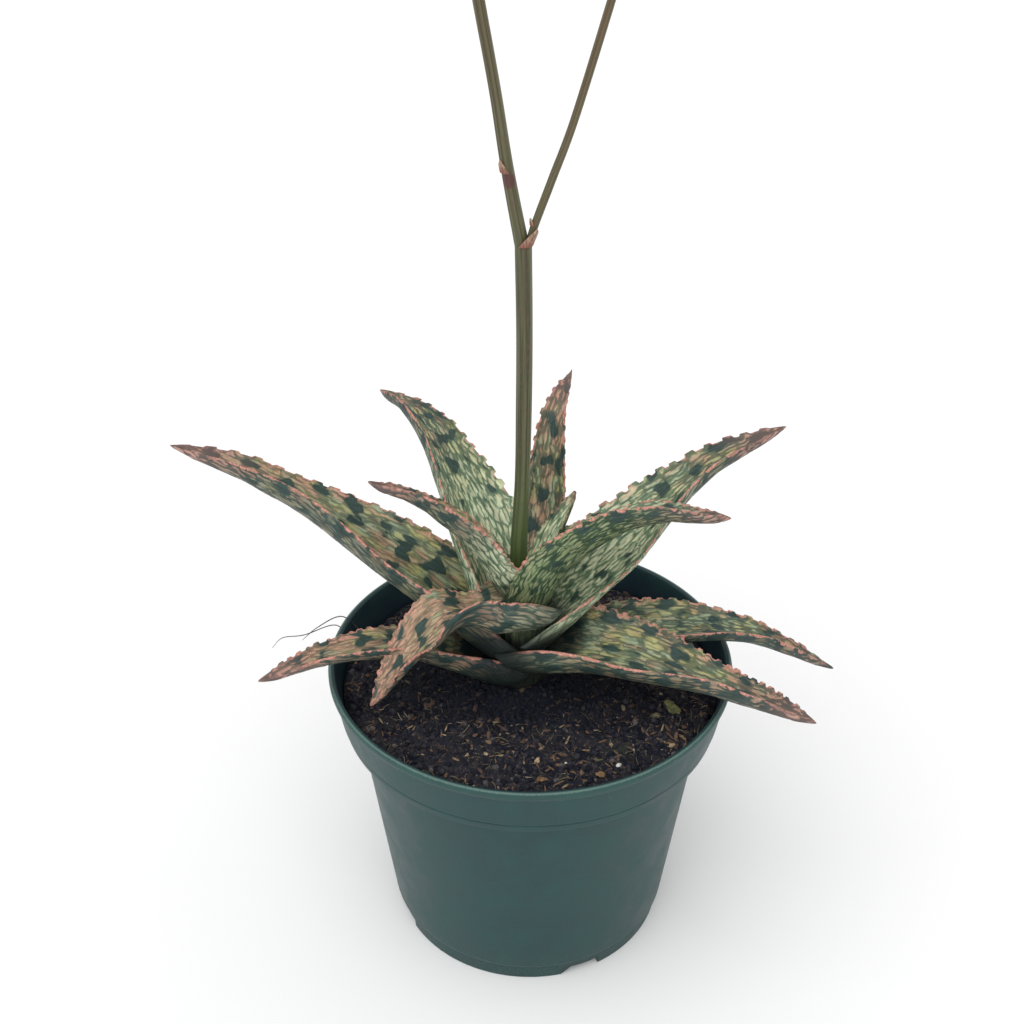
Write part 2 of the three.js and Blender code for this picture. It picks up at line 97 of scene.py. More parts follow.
# course: [reach, height, side] stations out from the stem; fold: half angle of the channel;
# roll lifts the left margin; pads: length and width of the raised pads; merged: how far the
# pads run together; tan and green: how far the skin has browned and how green it stays;
# teeth: [spacing, height, length] on the margin that is further from or nearer to the front
LEAVES = {
    "leaf_left_long": dict(
        azimuth=168, course=[[10, 133], [58, 168], [105, 195], [140, 206]],
        width=44, fold=[92, 60, 55, 50], roll=[0, 2, 24, 12], thickness=4, sheath=0.1,
        pads=[9.5, 2], merged=0.45, tan=0.25, green=0.05,
        far_teeth=[8.5, 1.2, 4.5], near_teeth=[3.6, 0.5, 1.8],
    ),
    "leaf_back_left": dict(
        azimuth=126, course=[[10, 139], [36, 177], [67, 203], [100, 203]],
        width=41, fold=[105, 52, 40, 40], roll=[0, 12, 30, 20], thickness=4, sheath=0.2,
        pads=[7, 1.9], merged=0.25, tan=0.0, green=0.6,
        far_teeth=[7, 1.4, 3.4], near_teeth=[4, 0.5, 1.8],
    ),
    "leaf_left_slender": dict(
        azimuth=198, course=[[5, 160], [20, 187], [39, 206], [58, 218]],
        width=23, fold=[95, 60, 50, 50], roll=[0, 6, 14, 14], thickness=3,
        pads=[7, 1.7], merged=0.5, tan=0.45, green=0.45,
        far_teeth=[4, 0.6, 2], near_teeth=[3.2, 0.8, 1.9],
    ),
    "leaf_back_upright": dict(
        azimuth=72, course=[[8, 148], [31, 175], [43, 212], [68, 221]],
        width=22, fold=[90, 50, 45, 40], roll=[0, 0, 0, 0], thickness=3, taper=0.95,
        pads=[6.5, 2.1], merged=0.3, tan=0.5, green=0.15,
        far_teeth=[5, 0.8, 2.4], near_teeth=[5, 0.8, 2.4],
    ),
    "leaf_young": dict(
        azimuth=40, course=[[5, 154], [13, 172], [28, 192]],
        width=13, fold=[80, 60, 50], roll=[0, 0, 0], thickness=2,
        pads=[6, 1.2], merged=0.5, tan=0.0, green=1,
        far_teeth=[3, 0.5, 1.5], near_teeth=[3, 0.6, 1.5],
    ),
    "leaf_right_long": dict(
        azimuth=21, course=[[9, 142], [43, 169], [80, 196], [113, 208]],
        width=36, fold=[95, 50, 55, 50], roll=[15, 18, -12, -12], thickness=3, sheath=0.5,
        pads=[8, 2.1], merged=0.25, tan=0.15, green=0.61,
        far_teeth=[6.8, 1.5, 4.2], near_teeth=[4, 0.6, 2],
    ),
    "leaf_right_arched": dict(
        azimuth=-14, course=[[6, 154], [19, 177], [46, 198], [79, 203]],
        width=36, fold=[105, 60, 50, 50], roll=[0, -20, -25, -20], thickness=3.5,
        pads=[6, 1.5], merged=0.3, tan=0.05, green=0.75,
        far_teeth=[3.4, 0.8, 1.9], near_teeth=[3.1, 0.8, 1.8],
    ),
    "leaf_front_hooked": dict(
        azimuth=213, course=[[8, 154, 10], [20, 156, 8], [34, 160.3, 3.2], [47, 149.5, -1], [69, 131, 1.5]],
        width=35.4, fold=[90, 62, 36, 62, 60], roll=[0, 20, 6, 6, -8], thickness=3.5, taper=0.95, sheath=0.2,
        pads=[6, 1.9], merged=0.6, tan=0.8, green=0.1,
        far_teeth=[3.4, 0.8, 2], near_teeth=[2.9, 0.9, 1.8],
    ),
    "leaf_left_low": dict(
        azimuth=197, course=[[12, 121], [48, 140], [80, 142], [105, 136]],
        width=27, fold=[100, 50, 45, 50], roll=[0, 10, 12, 12], thickness=3, sheath=0.6,
        pads=[8, 1.8], merged=0.5, tan=0.6, green=0.05,
        far_teeth=[4.2, 1, 2.4], near_teeth=[4.5, 0.4, 2],
    ),
    "leaf_front_low": dict(
        azimuth=-24, course=[[12, 132, -2], [40, 138.5, -2], [82, 136, 0], [121, 131, 0]],
        width=39, fold=[95, 55, 50, 50], roll=[4, -2, -22, -16], thickness=4, sheath=0.3,
        pads=[7.5, 2.3], merged=0.3, tan=0.3, green=0.1,
        far_teeth=[3.9, 1.4, 2.6], near_teeth=[7, 0.3, 3],
    ),
    "leaf_right_low": dict(
        azimuth=3, course=[[12, 123], [50, 136.8], [92, 132.5], [129, 113]],
        width=29, fold=[80, 44, 45, 50], roll=[0, 3, -13, -14], thickness=4,
        pads=[6, 2.2], merged=0.25, tan=0.0, green=0.15,
        far_teeth=[6, 1.1, 3.8], near_teeth=[6, 0.4, 3],
    ),
}

# Flower stalk: [x, z, radius] stations in the plane of the fork
STALK = [[-4.6, 154.3, 3.5], [-4.7, 178, 3.2], [-3.5, 208, 2.8], [-3.05, 240, 2.9], [-3, 270, 2.9],
         [-3.5, 301.5, 2.95]]
MAIN_SHOOT = [[-3.6, 299, 2.5], [-8.8, 327.5, 2.15], [-12.8, 354, 1.95], [-17.7, 382, 1.95],
              [-20.4, 398, 1.8]]
SIDE_SHOOT = [[-2.3, 298.5, 1.3], [0.3, 308, 1.35], [5.9, 324, 1.4], [13, 344.5, 1.35],
              [23.6, 382, 1.35], [26.9, 395, 1.2]]
MAIN_AXIS = [[-20.45, 398.3, 1.7], [-22.2, 420, 1.5], [-23.4, 445, 1.2], [-23.8, 468, 0.8]]
SIDE_AXIS = [[26.95, 395.3, 1.15], [30, 410, 1.1], [32, 426, 1], [33, 442, 0.8]]
GOLDEN_ANGLE = 137.5
SHOOT_STEP = 1.2
FLOWER_SIDES = 12

BRACTS = {
    "bract_at_fork": dict(foot=[-3.4, 0, 301.2], azimuth=-50, lean=20, height=6.6, radius=3.1, wrap=70),
    "bract_on_side_shoot": dict(foot=[0.4, 0, 308.4], azimuth=215, lean=0, height=2.8, radius=1.5, wrap=40),
    "bract_on_main_shoot": dict(foot=[-8.7, 0, 326.9], azimuth=228, lean=-9.5, height=4.6, radius=2.4,
                                wrap=50),
}


# Small tools for shapes

def along(values, s):
    """Smooth values through evenly spaced stations, at each place s from 0 to 1."""
    v = np.asarray(values, float)
    v = v.reshape(len(v), -1)
    padded = np.vstack([2 * v[0] - v[1], v, 2 * v[-1] - v[-2]])
    place = np.clip(np.atleast_1d(s), 0, 1) * (len(v) - 1)
    i = np.minimum(place.astype(int), len(v) - 2)
    t = (place - i)[:, None]
    a, b, c, d = padded[i], padded[i + 1], padded[i + 2], padded[i + 3]
    return 0.5 * (2 * b + (c - a) * t + (2 * a - 5 * b + 4 * c - d) * t**2 + (3 * b - 3 * c + d - a) * t**3)


def smooth(x):
    t = np.clip(x, 0, 1)
    return t * t * (3 - 2 * t)


def unit(v):
    return v / np.linalg.norm(v, axis=-1, keepdims=True)


def dot(a, b):
    return np.sum(a * b, axis=-1, keepdims=True)


def stacked(*parts):
    """Three values for each point, from parts that may stay the same along or round a form."""
    return np.stack(np.broadcast_arrays(*parts), -1)


def full_turn(sides):
    return np.arange(sides) * 2 * math.pi / sides


def compass(azimuth):
    """The level directions outward at an azimuth and to its left."""
    a = math.radians(azimuth)
    return np.array([math.cos(a), math.sin(a), 0.0]), np.array([-math.sin(a), math.cos(a), 0.0])


def lumps(x, y, size, seed):
    """Smooth random heights from -1 to 1, with lumps of about the given size."""
    lattice = np.random.default_rng(seed).uniform(-1, 1, (LATTICE, LATTICE))
    gx, gy = x / size + 500, y / size + 500
    ix, iy = np.floor(gx).astype(int), np.floor(gy).astype(int)
    tx, ty = smooth(gx - ix), smooth(gy - iy)
    ix, iy = ix % (LATTICE - 1), iy % (LATTICE - 1)
    low = lattice[iy, ix] * (1 - tx) + lattice[iy, ix + 1] * tx
    high = lattice[iy + 1, ix] * (1 - tx) + lattice[iy + 1, ix + 1] * tx
    return low * (1 - ty) + high * ty


def walk_evenly(points, step):
    """New points about every step along the line through points, and their distances along it.
    What follows the first three values of a point is carried along."""
    lengths = np.r_[0, np.cumsum(np.linalg.norm(np.diff(points[:, :3], axis=0), axis=1))]
    places = np.linspace(0, lengths[-1], max(int(round(lengths[-1] / step)), 2) + 1)
    return np.stack([np.interp(places, lengths, values) for values in points.T], 1), places


def grid_faces(rows, columns, closed=False):
    """Four-sided faces of a grid of points; closed joins the last column to the first."""
    i, j = np.meshgrid(np.arange(rows - 1), np.arange(columns if closed else columns - 1), indexing="ij")
    a = i * columns + j
    b = i * columns + (j + 1) % columns
    return np.stack([a, b, b + columns, a + columns], -1).reshape(-1, 4).tolist()


def closed_form(rings, start=None, end=None):
    """Points and faces of rings joined in order. Each end is flat, or runs to the point given."""
    rows, columns, _ = rings.shape
    points = rings.reshape(-1, 3)
    faces = grid_faces(rows, columns, closed=True)
    last = (rows - 1) * columns
    for edge, tip in (range(columns - 1, -1, -1), start), (range(last, last + columns), end):
        if tip is None:
            faces.append(list(edge))
        else:
            faces += [[edge[k - 1], edge[k], len(points)] for k in range(columns)]
            points = np.vstack([points, tip])
    return points, faces


def tube(line, radii, sides, aside, start=None, end=None):
    """A closed form round a line; radii may change along and round it. Its rings are counted from
    the direction square to the line and to aside."""
    forward = unit(np.gradient(line, axis=0))
    side = unit(np.cross(aside, forward))
    other = np.cross(forward, side)
    turn = full_turn(sides)[:, None]
    rings = np.cos(turn) * side[:, None] + np.sin(turn) * other[:, None]
    return closed_form(line[:, None] + rings * radii[..., None], start, end)


def new_object(name, points, faces, attributes=None):
    """A smooth-shaded mesh object from points in millimetres, with its named attributes."""
    mesh = bpy.data.meshes.new(name)
    mesh.from_pydata((np.asarray(points, float) * MM).tolist(), [], faces)
    for key, values in (attributes or {}).items():
        data = mesh.attributes.new(key, "FLOAT_VECTOR", "POINT").data
        data.foreach_set("vector", values.astype(np.float32).ravel())
    mesh.shade_smooth()
    piece = bpy.data.objects.new(name, mesh)
    bpy.context.scene.collection.objects.link(piece)
    return piece


def made_plain(piece):
    """Replaces a piece's mesh by the result of its modifiers, and takes them off."""
    graph = bpy.context.evaluated_depsgraph_get()
    plain = bpy.data.meshes.new_from_object(piece.evaluated_get(graph), preserve_all_data_layers=True,
                                            depsgraph=graph)
    piece.modifiers.clear()
    piece.data = plain


def run_tree(piece, tree, sockets, values):
    """Shapes a piece by a geometry tree with the given inputs."""
    modifier = piece.modifiers.new(tree.name, "NODES")
    modifier.node_group = tree
    for key, value in values.items():
        modifier[sockets[key]] = value
    made_plain(piece)


def face_outward(piece):
    """Turns every face of a closed shape outwards."""
    shape = bmesh.new()
    shape.from_mesh(piece.data)
    bmesh.ops.recalc_face_normals(shape, faces=shape.faces)
    shape.to_mesh(piece.data)
    shape.free()


def settle(piece, finish, node=None):
    """Gives a piece its finish and slot, fixes it to the plant and hides the part of model.glb that it
    shows.
    """
    if finish:
        piece.data.materials.append(finish)
    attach(piece, "root")
    if node:
        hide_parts(node)


# Small tools for materials and trees

def paint(colour):
    """A screen colour, 0 to 255, as the linear colour that a shader takes. A Value stays as it is."""
    if isinstance(colour, Value):
        return colour
    shares = [level / 255 for level in colour]
    return *[c / 12.92 if c <= 0.04045 else ((c + 0.055) / 1.055) ** 2.4 for c in shares], 1


class Value:
    """An output of a node. It is added, subtracted and multiplied like a number, and where it is
    a vector or a colour, part by part."""

    def __init__(self, nodes, socket):
        self.nodes = nodes
        self.socket = socket

    def math(self, operation, *others):
        kind = "ShaderNodeMath" if self.socket.type == "VALUE" else "ShaderNodeVectorMath"
        output = "Value" if operation in ("LENGTH", "DISTANCE") else 0
        return self.nodes.value(kind, dict(enumerate([self, *others])), output, operation=operation)

    def __add__(self, other):
        return self.math("ADD", other)

    def __sub__(self, other):
        return self.math("SUBTRACT", other)

    def __rsub__(self, number):
        return self.nodes.value("ShaderNodeMath", {0: number, 1: self}, operation="SUBTRACT")

    def __mul__(self, other):
        return self.math("MULTIPLY", other)

    def step(self, start, end, low=0.0, high=1.0):
        """Goes smoothly from low to high as the value goes from start to end."""
        return self.nodes.value("ShaderNodeMapRange", dict(enumerate([self, start, end, low, high])),
                                interpolation_type="SMOOTHSTEP")

    def between(self, a, b, how="MIX"):
        """The colour between screen colours or values a and b that has this share of b."""
        return self.nodes.value("ShaderNodeMix", {0: self, 6: paint(a), 7: paint(b)}, 2,
                                data_type="RGBA", blend_type=how)

    def noise(self, scale=1.0, detail=2.0, roughness=0.5, output=0):
        return self.nodes.value("ShaderNodeTexNoise", {"Vector": self, "Scale": scale, "Detail": detail,
                                                       "Roughness": roughness}, output)

    def cells(self, scale=1.0, randomness=1.0, **settings):
        """A pattern of cells at this place: a distance in the cell, and the cell's own colour."""
        node = self.nodes.add("ShaderNodeTexVoronoi", {"Vector": self, "Scale": scale,
                                                       "Randomness": randomness}, **settings)
        return [Value(self.nodes, output) for output in node.outputs[:2]]

    def parts(self):
        node = self.nodes.add("ShaderNodeSeparateXYZ", {0: self})
        return [Value(self.nodes, part) for part in node.outputs]


def coats(colour, *layers):
    """A colour under layers of others, each given as the share that it covers and its colour."""
    for share, *layer in layers:
        colour = share.between(colour, *layer)
    return colour


class Nodes:
    """Adds nodes to a tree. An input takes a number, a colour, a vector or an output of a node."""

    def __init__(self, tree):
        self.tree = tree

    def add(self, kind, inputs=None, **settings):
        node = self.tree.nodes.new(kind)
        for key, value in settings.items():
            setattr(node, key, value)
        for key, value in (inputs or {}).items():
            value = getattr(value, "socket", value)
            if isinstance(value, bpy.types.NodeSocket):
                self.tree.links.new(value, node.inputs[key])
            else:
                node.inputs[key].default_value = value
        return node

    def value(self, kind, inputs=None, output=0, **settings):
        return Value(self, self.add(kind, inputs, **settings).outputs[output])


class Finish(Nodes):
    """A material in the making, which has one colour all over until it is made."""

    def __init__(self, name, colour, roughness, specular):
        colour = paint(colour)
        self.material = bpy.data.materials.new(name)
        self.material.use_nodes = True
        self.material.diffuse_color = colour
        super().__init__(self.material.node_tree)
        self.shader = self.tree.nodes["Principled BSDF"]
        self.shader.inputs["Base Color"].default_value = colour
        self.shader.inputs["Roughness"].default_value = roughness
        self.shader.inputs["Specular IOR Level"].default_value = specular

    def place(self, scale=(1000, 1000, 1000)):
        """Object coordinates, stretched; by default in millimetres."""
        return self.value("ShaderNodeTexCoord", output="Object") * scale

    def attribute(self, name, output="Vector"):
        return self.value("ShaderNodeAttribute", output=output, attribute_name=name)

    def made(self, colour, height, depth, strength, roughness=None):
        """The material with its colours, and with its surface raised in the shading by height
        times depth millimetres."""
        bump = self.value("ShaderNodeBump", {"Height": height, "Distance": depth * MM, "Strength": strength})
        for key, value in (("Base Color", colour), ("Normal", bump), ("Roughness", roughness)):
            if value:
                self.tree.links.new(value.socket, self.shader.inputs[key])
        return self.material


def new_tree(name, kinds):
    """A geometry tree: its nodes, what it is given, and the identifiers of its inputs."""
    tree = bpy.data.node_groups.new(name, "GeometryNodeTree")
    sockets = {}
    for key, kind in kinds.items():
        socket = tree.interface.new_socket(key, in_out="INPUT", socket_type="NodeSocket" + kind)
        sockets[key] = socket.identifier
    tree.interface.new_socket("Result", in_out="OUTPUT", socket_type="NodeSocketGeometry")
    nodes = Nodes(tree)
    return nodes, nodes.add("NodeGroupInput").outputs, sockets


# Leaf skin

def freshness(s, green):
    """How new and green the skin is: most at the foot of a leaf, and further up a green leaf."""
    return (s - green).step(0.15, -0.3)


def pad_pattern(spread, place, share, tone):
    """The raised pads of a leaf: how high they stand at a place, 0 to 1, how far the place lies in
    a dark blotch, and three random values for the pad. spread counts pads along and across."""
    s, _, _ = share.parts()
    _, green, _ = tone.parts()
    _, _, merged = spread.parts()
    distance, _, _ = place.parts()
    spot = spread + (place.noise(0.2, output="Color") - (0.5, 0.5, 0.5)) * (1.3, 1.6, 0)
    edge, _ = spot.cells(randomness=0.85, voronoi_dimensions="2D", feature="DISTANCE_TO_EDGE")
    _, cell = spot.cells(randomness=0.85, voronoi_dimensions="2D")
    random = cell.parts()
    wander = (place * (0.03, 0.08, 0.08)).noise(detail=1.0)
    bars = (distance * (2 * math.pi / BAR_SPACING) + wander * 7.0).math("COSINE")
    blotch = (place * (0.12, 0.25, 0.25)).noise(detail=0.8)
    blotch = blotch + bars * 0.13 + (random[0] - 0.5) * 0.13 - freshness(s, green) * 0.12
    dark = blotch.step(0.58, 0.67)
    ragged = (place * (0.5, 1.2, 1.2)).noise()
    lines = (place * (0.1, 1.1, 1.1)).noise()
    gap = merged.step(0.6, 0.1, 0.01, 0.035) + blotch.step(0.35, 0.6, -0.05, 0.07)
    gap = gap + s.step(0.35, 0.6) * merged.step(0.45, 0.35, 0.0, 0.06)
    raised = (edge + ragged * -0.14 + (lines - 0.5) * 0.85 - gap).step(-0.04, 0.24)
    return raised * (1.0 - dark), dark, random


def relief_tree():
    """Raises the pads of a leaf out of its skin."""
    nodes, given, sockets = new_tree("leaf_relief", {"Leaf": "Geometry", "Pad height": "Float"})
    spread, place, share, tone = [nodes.value("GeometryNodeInputNamedAttribute", {"Name": name}, "Attribute",
                                              data_type="FLOAT_VECTOR") for name in LEAF_PATTERNS]
    _, across, upper = share.parts()
    _, _, merged = spread.parts()
    pads, _, _ = pad_pattern(spread, place, share, tone)
    pads = pads * upper.step(0.0, 1.0, 0.4, 1.0) * merged.step(0.0, 1.0, 1.0, 0.6)
    raised = pads * across.math("ABSOLUTE").step(1.0, 0.93) * given["Pad height"]
    normal = nodes.value("GeometryNodeInputNormal")
    lift = nodes.value("ShaderNodeVectorMath", {0: normal, "Scale": raised}, operation="SCALE")
    moved = nodes.value("GeometryNodeSetPosition", {"Geometry": given["Leaf"], "Offset": lift})
    nodes.add("NodeGroupOutput", {0: moved})
    return nodes.tree, sockets


def leaf_skin():
    """Pale pads on dark blue-green with darker blotches, salmon margins, a browned tip, and painted shade at
    the foot and beside the stem.
    """
    nodes = Finish("snowflake_leaf_skin", (130, 136, 108), 0.5, 0.32)
    spread, place, share, tone = [nodes.attribute(name) for name in LEAF_PATTERNS]
    s, _, upper = share.parts()
    tan, green, margin = tone.parts()
    _, _, merged = spread.parts()
    broad = place.noise(0.06)
    streak = (place * (0.1, 1.3, 1.3)).noise(1.0, 3.0, 0.6)
    speck = place.noise(1.4, 3.0, 0.6)
    pads, dark, (lot, hue, warmth) = pad_pattern(spread, place, share, tone)
    yellower, tanner, _ = (place * (0.08, 0.16, 0.16)).noise(output="Color").parts()

    yellow = (hue * 0.25 + yellower).step(0.5, 0.78)
    tanned = tan + s.step(0.45, 0.95, 0.0, 0.5) + tanner.step(0.35, 0.65, -0.3, 0.4)
    aged = (warmth * 0.5 + tanned).step(0.45, 1.15)
    upper_pad = coats((158, 172, 140), (yellow, (190, 184, 122)), (aged, (188, 150, 124)))
    upper_gap = coats((46, 68, 66), (broad.step(0.35, 0.65), (74, 92, 76)),
                      (merged * 0.8 * (1.0 - dark), upper_pad))
    under_pad = coats((112, 122, 104), (yellow, (134, 134, 102)), (aged * 0.8, (142, 116, 100)))

    deep = green.step(0.62, 0.74)
    under_green = pads.between(deep.between((112, 138, 108), (54, 80, 52)),
                               deep.between((228, 240, 204), (140, 158, 112)))
    upper_green = pads.between((116, 146, 114), (236, 244, 206))

    # Painted shade: skin near the stem and low in the rosette is darkened where the leaves shade it.
    spot = nodes.place() - (STEM_X, 0, 0)
    _, _, z = spot.parts()
    painted_stem_shade = (spot * (1, 1, 0)).math("LENGTH").step(31.0, 20.0, 0.0, 0.9) * z.step(152.0, 144.0)

    pink_pads = margin.step(4.4, 1.2) * green.step(0.1, 0.4, 1.0, 0.4) * pads * lot.step(0.25, 0.5)
    pink_pads = pink_pads * upper.step(0.0, 1.0, 0.2, 0.85)
    ragged = (place * (0.3, 0.12, 0.12)).noise()
    rim = (margin - ragged.step(0.35, 0.65, -0.2, 0.8)).step(0.2, -0.2)
    pinked = pink_pads.math("MAXIMUM", rim) * s.step(0.04, 0.11, 0.0, 0.9) * s.step(1.0, 0.9, 0.5, 1.0)
    pink = speck.step(0.35, 0.65).between((164, 116, 102), (220, 154, 138))

    browned = (s + broad * 0.2).step(0.82, 1.06, 0.0, 0.8) * tan.step(0.0, 0.1, 0.4, 1.0)
    browned = browned * tan.step(0.62, 0.7, 1.0, 0.3) * green.step(0.8, 0.95, 1.0, 0.2)
    # Painted shade: the foot of each leaf is darkened.
    foot = s.step(0.01, upper.step(0.0, 1.0, 0.12, 0.05), 0.75, 0.0)

    colour = coats(
        upper.between(pads.between((68, 82, 76), under_pad), pads.between(upper_gap, upper_pad)),
        (freshness(s, green) * 0.8, upper.between(under_green, upper_green)),
        (dark * 0.9, speck.between((32, 54, 56), (70, 92, 84))),
        (lot.step(0.3, 1.0, 0.0, 0.3) * pads, (198, 192, 160)),
        (streak.step(0.38, 0.66, 0.0, 0.5), (124, 130, 120), "MULTIPLY"),
        (painted_stem_shade, (20, 34, 38)),
        (pinked * green.step(0.8, 0.95, 1.0, 0.3), pink),
        (browned, pads.between((106, 88, 84), (186, 144, 132))),
        (foot, (24, 34, 30)),
    )
    return nodes.made(colour, streak * 0.7 + speck * 0.4, 0.25, 0.7, pads.step(0.0, 1.0, 0.6, 0.46))


# Leaves

def tooth_row(distance, length, spacing, height, long, rng):
    """How far the margin stands out at each distance along it: a row of low blunt teeth."""
    out = np.zeros_like(distance)
    place = TEETH_START + rng.uniform(0, spacing)
    while place < length - TEETH_END:
        size = rng.uniform(0.7, 1.15)
        lean = (distance - place) / (long * size / 2)
        shape = smooth((1 + lean) / 0.3) * smooth((1 - lean) / 0.16)
        out = np.maximum(out, height * size * shape)
        place += spacing * rng.uniform(0.8, 1.2)
    return out


def leaf_course(spec):
    """The middle line of a leaf and the distance along it, the directions across the leaf and up
    from it at each point, and the place of its tip."""
    outward, left = compass(spec["azimuth"])
    course = [[*station, 0][:3] for station in spec["course"]]
    reach, height, side = along(course, np.linspace(0, 1, 400)).T[..., None]
    line = np.array([STEM_X, 0, 0]) + reach * outward + side * left + height * UP
    centre, distance = walk_evenly(line, ROW_STEP)
    centre, distance = centre[:-1], distance[:-1]
    s = distance / (distance[-1] + ROW_STEP)
    forward = unit(np.gradient(centre, axis=0))
    across = unit(left - dot(left, forward) * forward)
    roll = np.radians(along(spec["roll"], s))
    across = across * np.cos(roll) + np.cross(forward, across) * np.sin(roll)
    upright = (CLASP_START + (1 - CLASP_START) * smooth(s / CLASP))[:, None]
    up = unit(-outward * (1 - upright) + np.cross(forward, across) * upright)
    across = unit(across - dot(across, up) * up)
    return centre, distance, across, up, line[-1]


def leaf_patterns(spec, number, distance, s, v, half, under):
    """What the skin follows at each point of a leaf: the count of pads, the place on the skin,
    the share of the length and width, and how the leaf is coloured."""
    long, wide = spec["pads"]
    girth = 2 * half / math.pi
    turn = math.pi / 2 * np.where(under, 2 - v, v)
    pads_across = v * half / np.where(under, wide * 0.75, wide)
    patterns = [
        stacked(distance / long + 31 * number, pads_across + 17 * number + 40 * under, spec["merged"]),
        stacked(distance + 211 * number, girth * np.cos(turn), girth * np.sin(turn) + 97 * number),
        stacked(s, v, 1 - under),
        stacked(spec["tan"], spec["green"], (1 - np.abs(v)) * half),
    ]
    return [pattern.reshape(-1, 3) for pattern in patterns]


def leaf(name, number, skin, relief):
    """One leaf: an arched channel with a thick middle, thin toothed margins and raised pads."""
    spec = LEAVES[name]
    rng = np.random.default_rng(400 + number)
    centre, distance, across, up, tip = leaf_course(spec)
    length = distance[-1] + ROW_STEP
    fold = np.radians(along(spec["fold"], distance / length))
    distance = distance[:, None]
    s = distance / length
    flare = 1 + spec.get("sheath", 0) * (1 - smooth(s / SHEATH))
    half = spec["width"] / 2 * (1 - s) ** spec.get("taper", TAPER) * (1 + 0.85 * s) * flare
    half = half * (1 + 0.025 * lumps(distance, 0 * distance, 14, number))
    body = (spec["thickness"] * (1 - s) ** 0.6 + TIP_THICKNESS) * np.sqrt(np.clip((1 - s) / 0.07, 0, 1))
    far, near = [tooth_row(distance, length, *spec[key], rng) * smooth((1 - s) / 0.12)
                 for key in ("far_teeth", "near_teeth")]
    points_left = math.cos(math.radians(spec["azimuth"])) < 0
    tooth_left, tooth_right = (near, far) if points_left else (far, near)

    v_up = np.sin(np.linspace(-COLUMN_SWEEP, COLUMN_SWEEP, UPPER_COLUMNS)) / math.sin(COLUMN_SWEEP)
    v = np.r_[v_up, np.linspace(1, -1, UNDER_COLUMNS)]
    under = np.r_[np.zeros(UPPER_COLUMNS), np.ones(UNDER_COLUMNS)]
    reach = half + np.where(v > 0, tooth_left, tooth_right) * smooth((np.abs(v) - 0.82) / 0.18)
    angle = fold * v
    thick = under * (body * (1 - np.abs(v) ** 2.4) ** 0.8 + EDGE_THICKNESS * (1 - s))
    x = reach * np.sin(angle) / fold + thick * np.sin(angle)
    y = reach * (1 - np.cos(angle)) / fold - thick * np.cos(angle)
    y = y + 0.35 * lumps(distance, v * 7, 9, 50 + number) * smooth(s / 0.2)
    rings = centre[:, None] + x[..., None] * across[:, None] + y[..., None] * up[:, None]
    skin_values = zip(leaf_patterns(spec, number, distance, s, v, half, under),
                      leaf_patterns(spec, number, length, 1, 0, 0, 0))
    piece = new_object(name + "_blade", *closed_form(rings, end=tip),
                       dict(zip(LEAF_PATTERNS, map(np.vstack, skin_values))))
    run_tree(piece, *relief, {"Pad height": PAD_HEIGHT * MM})
    settle(piece, skin, name)


# Pot

def rounded(corners):
    """A profile through [radius, height, fillet] corners, rounded where the fillet isn't 0."""
    corners = np.array(corners, float)
    out = []
    for before, corner, after in zip(np.roll(corners, 1, 0), corners, np.roll(corners, -1, 0)):
        here = corner[:2]
        back = unit(before[:2] - here) * corner[2]
        on = unit(after[:2] - here) * corner[2]
        for t in np.linspace(0, 1, 6) if corner[2] else [0]:
            out.append(here + back * (1 - t) ** 2 + on * t**2)
    return out


def turned(name, profile, segments, centre_x=0.0):
    """A closed turned shape about the vertical; the profile starts and ends on the axis."""
    r, z = np.array(profile, float).T[..., None]
    turn = full_turn(segments)
    rings = stacked(centre_x + r * np.cos(turn), r * np.sin(turn), z)
    return new_object(name, *closed_form(rings[1:-1], rings[0, 0], rings[-1, 0]))


def wall_radius(z):
    share = (z - FOOT_HEIGHT) / (BAND_FOOT - FOOT_HEIGHT)
    return WALL_FOOT_RADIUS + (WALL_TOP_RADIUS - WALL_FOOT_RADIUS) * share


def pot_plastic():
    """Dark green moulded plastic with a pale worn edge, scuffs on the band, painted light on the lip and
    painted shade on the inner wall.
    """
    nodes = Finish("pot_green_plastic", (48, 76, 76), 0.45, 0.35)
    place = nodes.place()
    _, _, z = place.parts()
    radius = (place * (1, 1, 0)).math("LENGTH")
    mottle = place.noise(0.07, 4.0, 0.6)
    grain = place.noise(1.6, 3.0, 0.6)
    # Painted light: the top of the lip is lightened where light catches it.
    painted_lip_light = z.step(POT_HEIGHT - 4, POT_HEIGHT - 1.5, 0.0, 0.2)
    edge = radius.step(RIM_RADIUS - 1.6, RIM_RADIUS - 0.8, 0.0, 0.4)
    edge = (z - grain * 0.8).step(POT_HEIGHT - 0.9, POT_HEIGHT - 0.4) * edge
    scuff = (place * (0.12, 0.12, 0.5)).noise(1.0, 5.0, 0.7).step(0.66, 0.74)
    scuff = scuff * z.step(BAND_FOOT - 1, BAND_FOOT + 2, 0.1, 0.4)
    # Painted shade: the inner wall above the soil is darkened, most just above the soil.
    middle = z * 0.215 + (RIM_RADIUS - 1.1 - POT_HEIGHT * 0.215)
    inside = (radius - middle).step(0.3, -0.5) * z.step(BAND_FOOT + 1, BAND_FOOT + 3)
    painted_inner_shade = (z + mottle * 12.0).step(134.0, 119.0, 0.55, 1.0)
    dust = z.step(24.0, 2.0) * grain.step(0.45, 0.7, 0.0, 0.3)
    colour = coats((15, 55, 57), (mottle.step(0.35, 0.68), (24, 66, 65)), (painted_lip_light, (70, 104, 94)),
                   (edge, (132, 158, 146)), (scuff, (122, 146, 140)),
                   (inside * painted_inner_shade, (24, 42, 52)), (dust, (104, 104, 94)))
    rough = mottle.step(0.3, 0.7, 0.4, 0.52) + scuff * 0.2
    return nodes.made(colour, mottle * 3.0 + grain, 0.1, 0.5, rough)


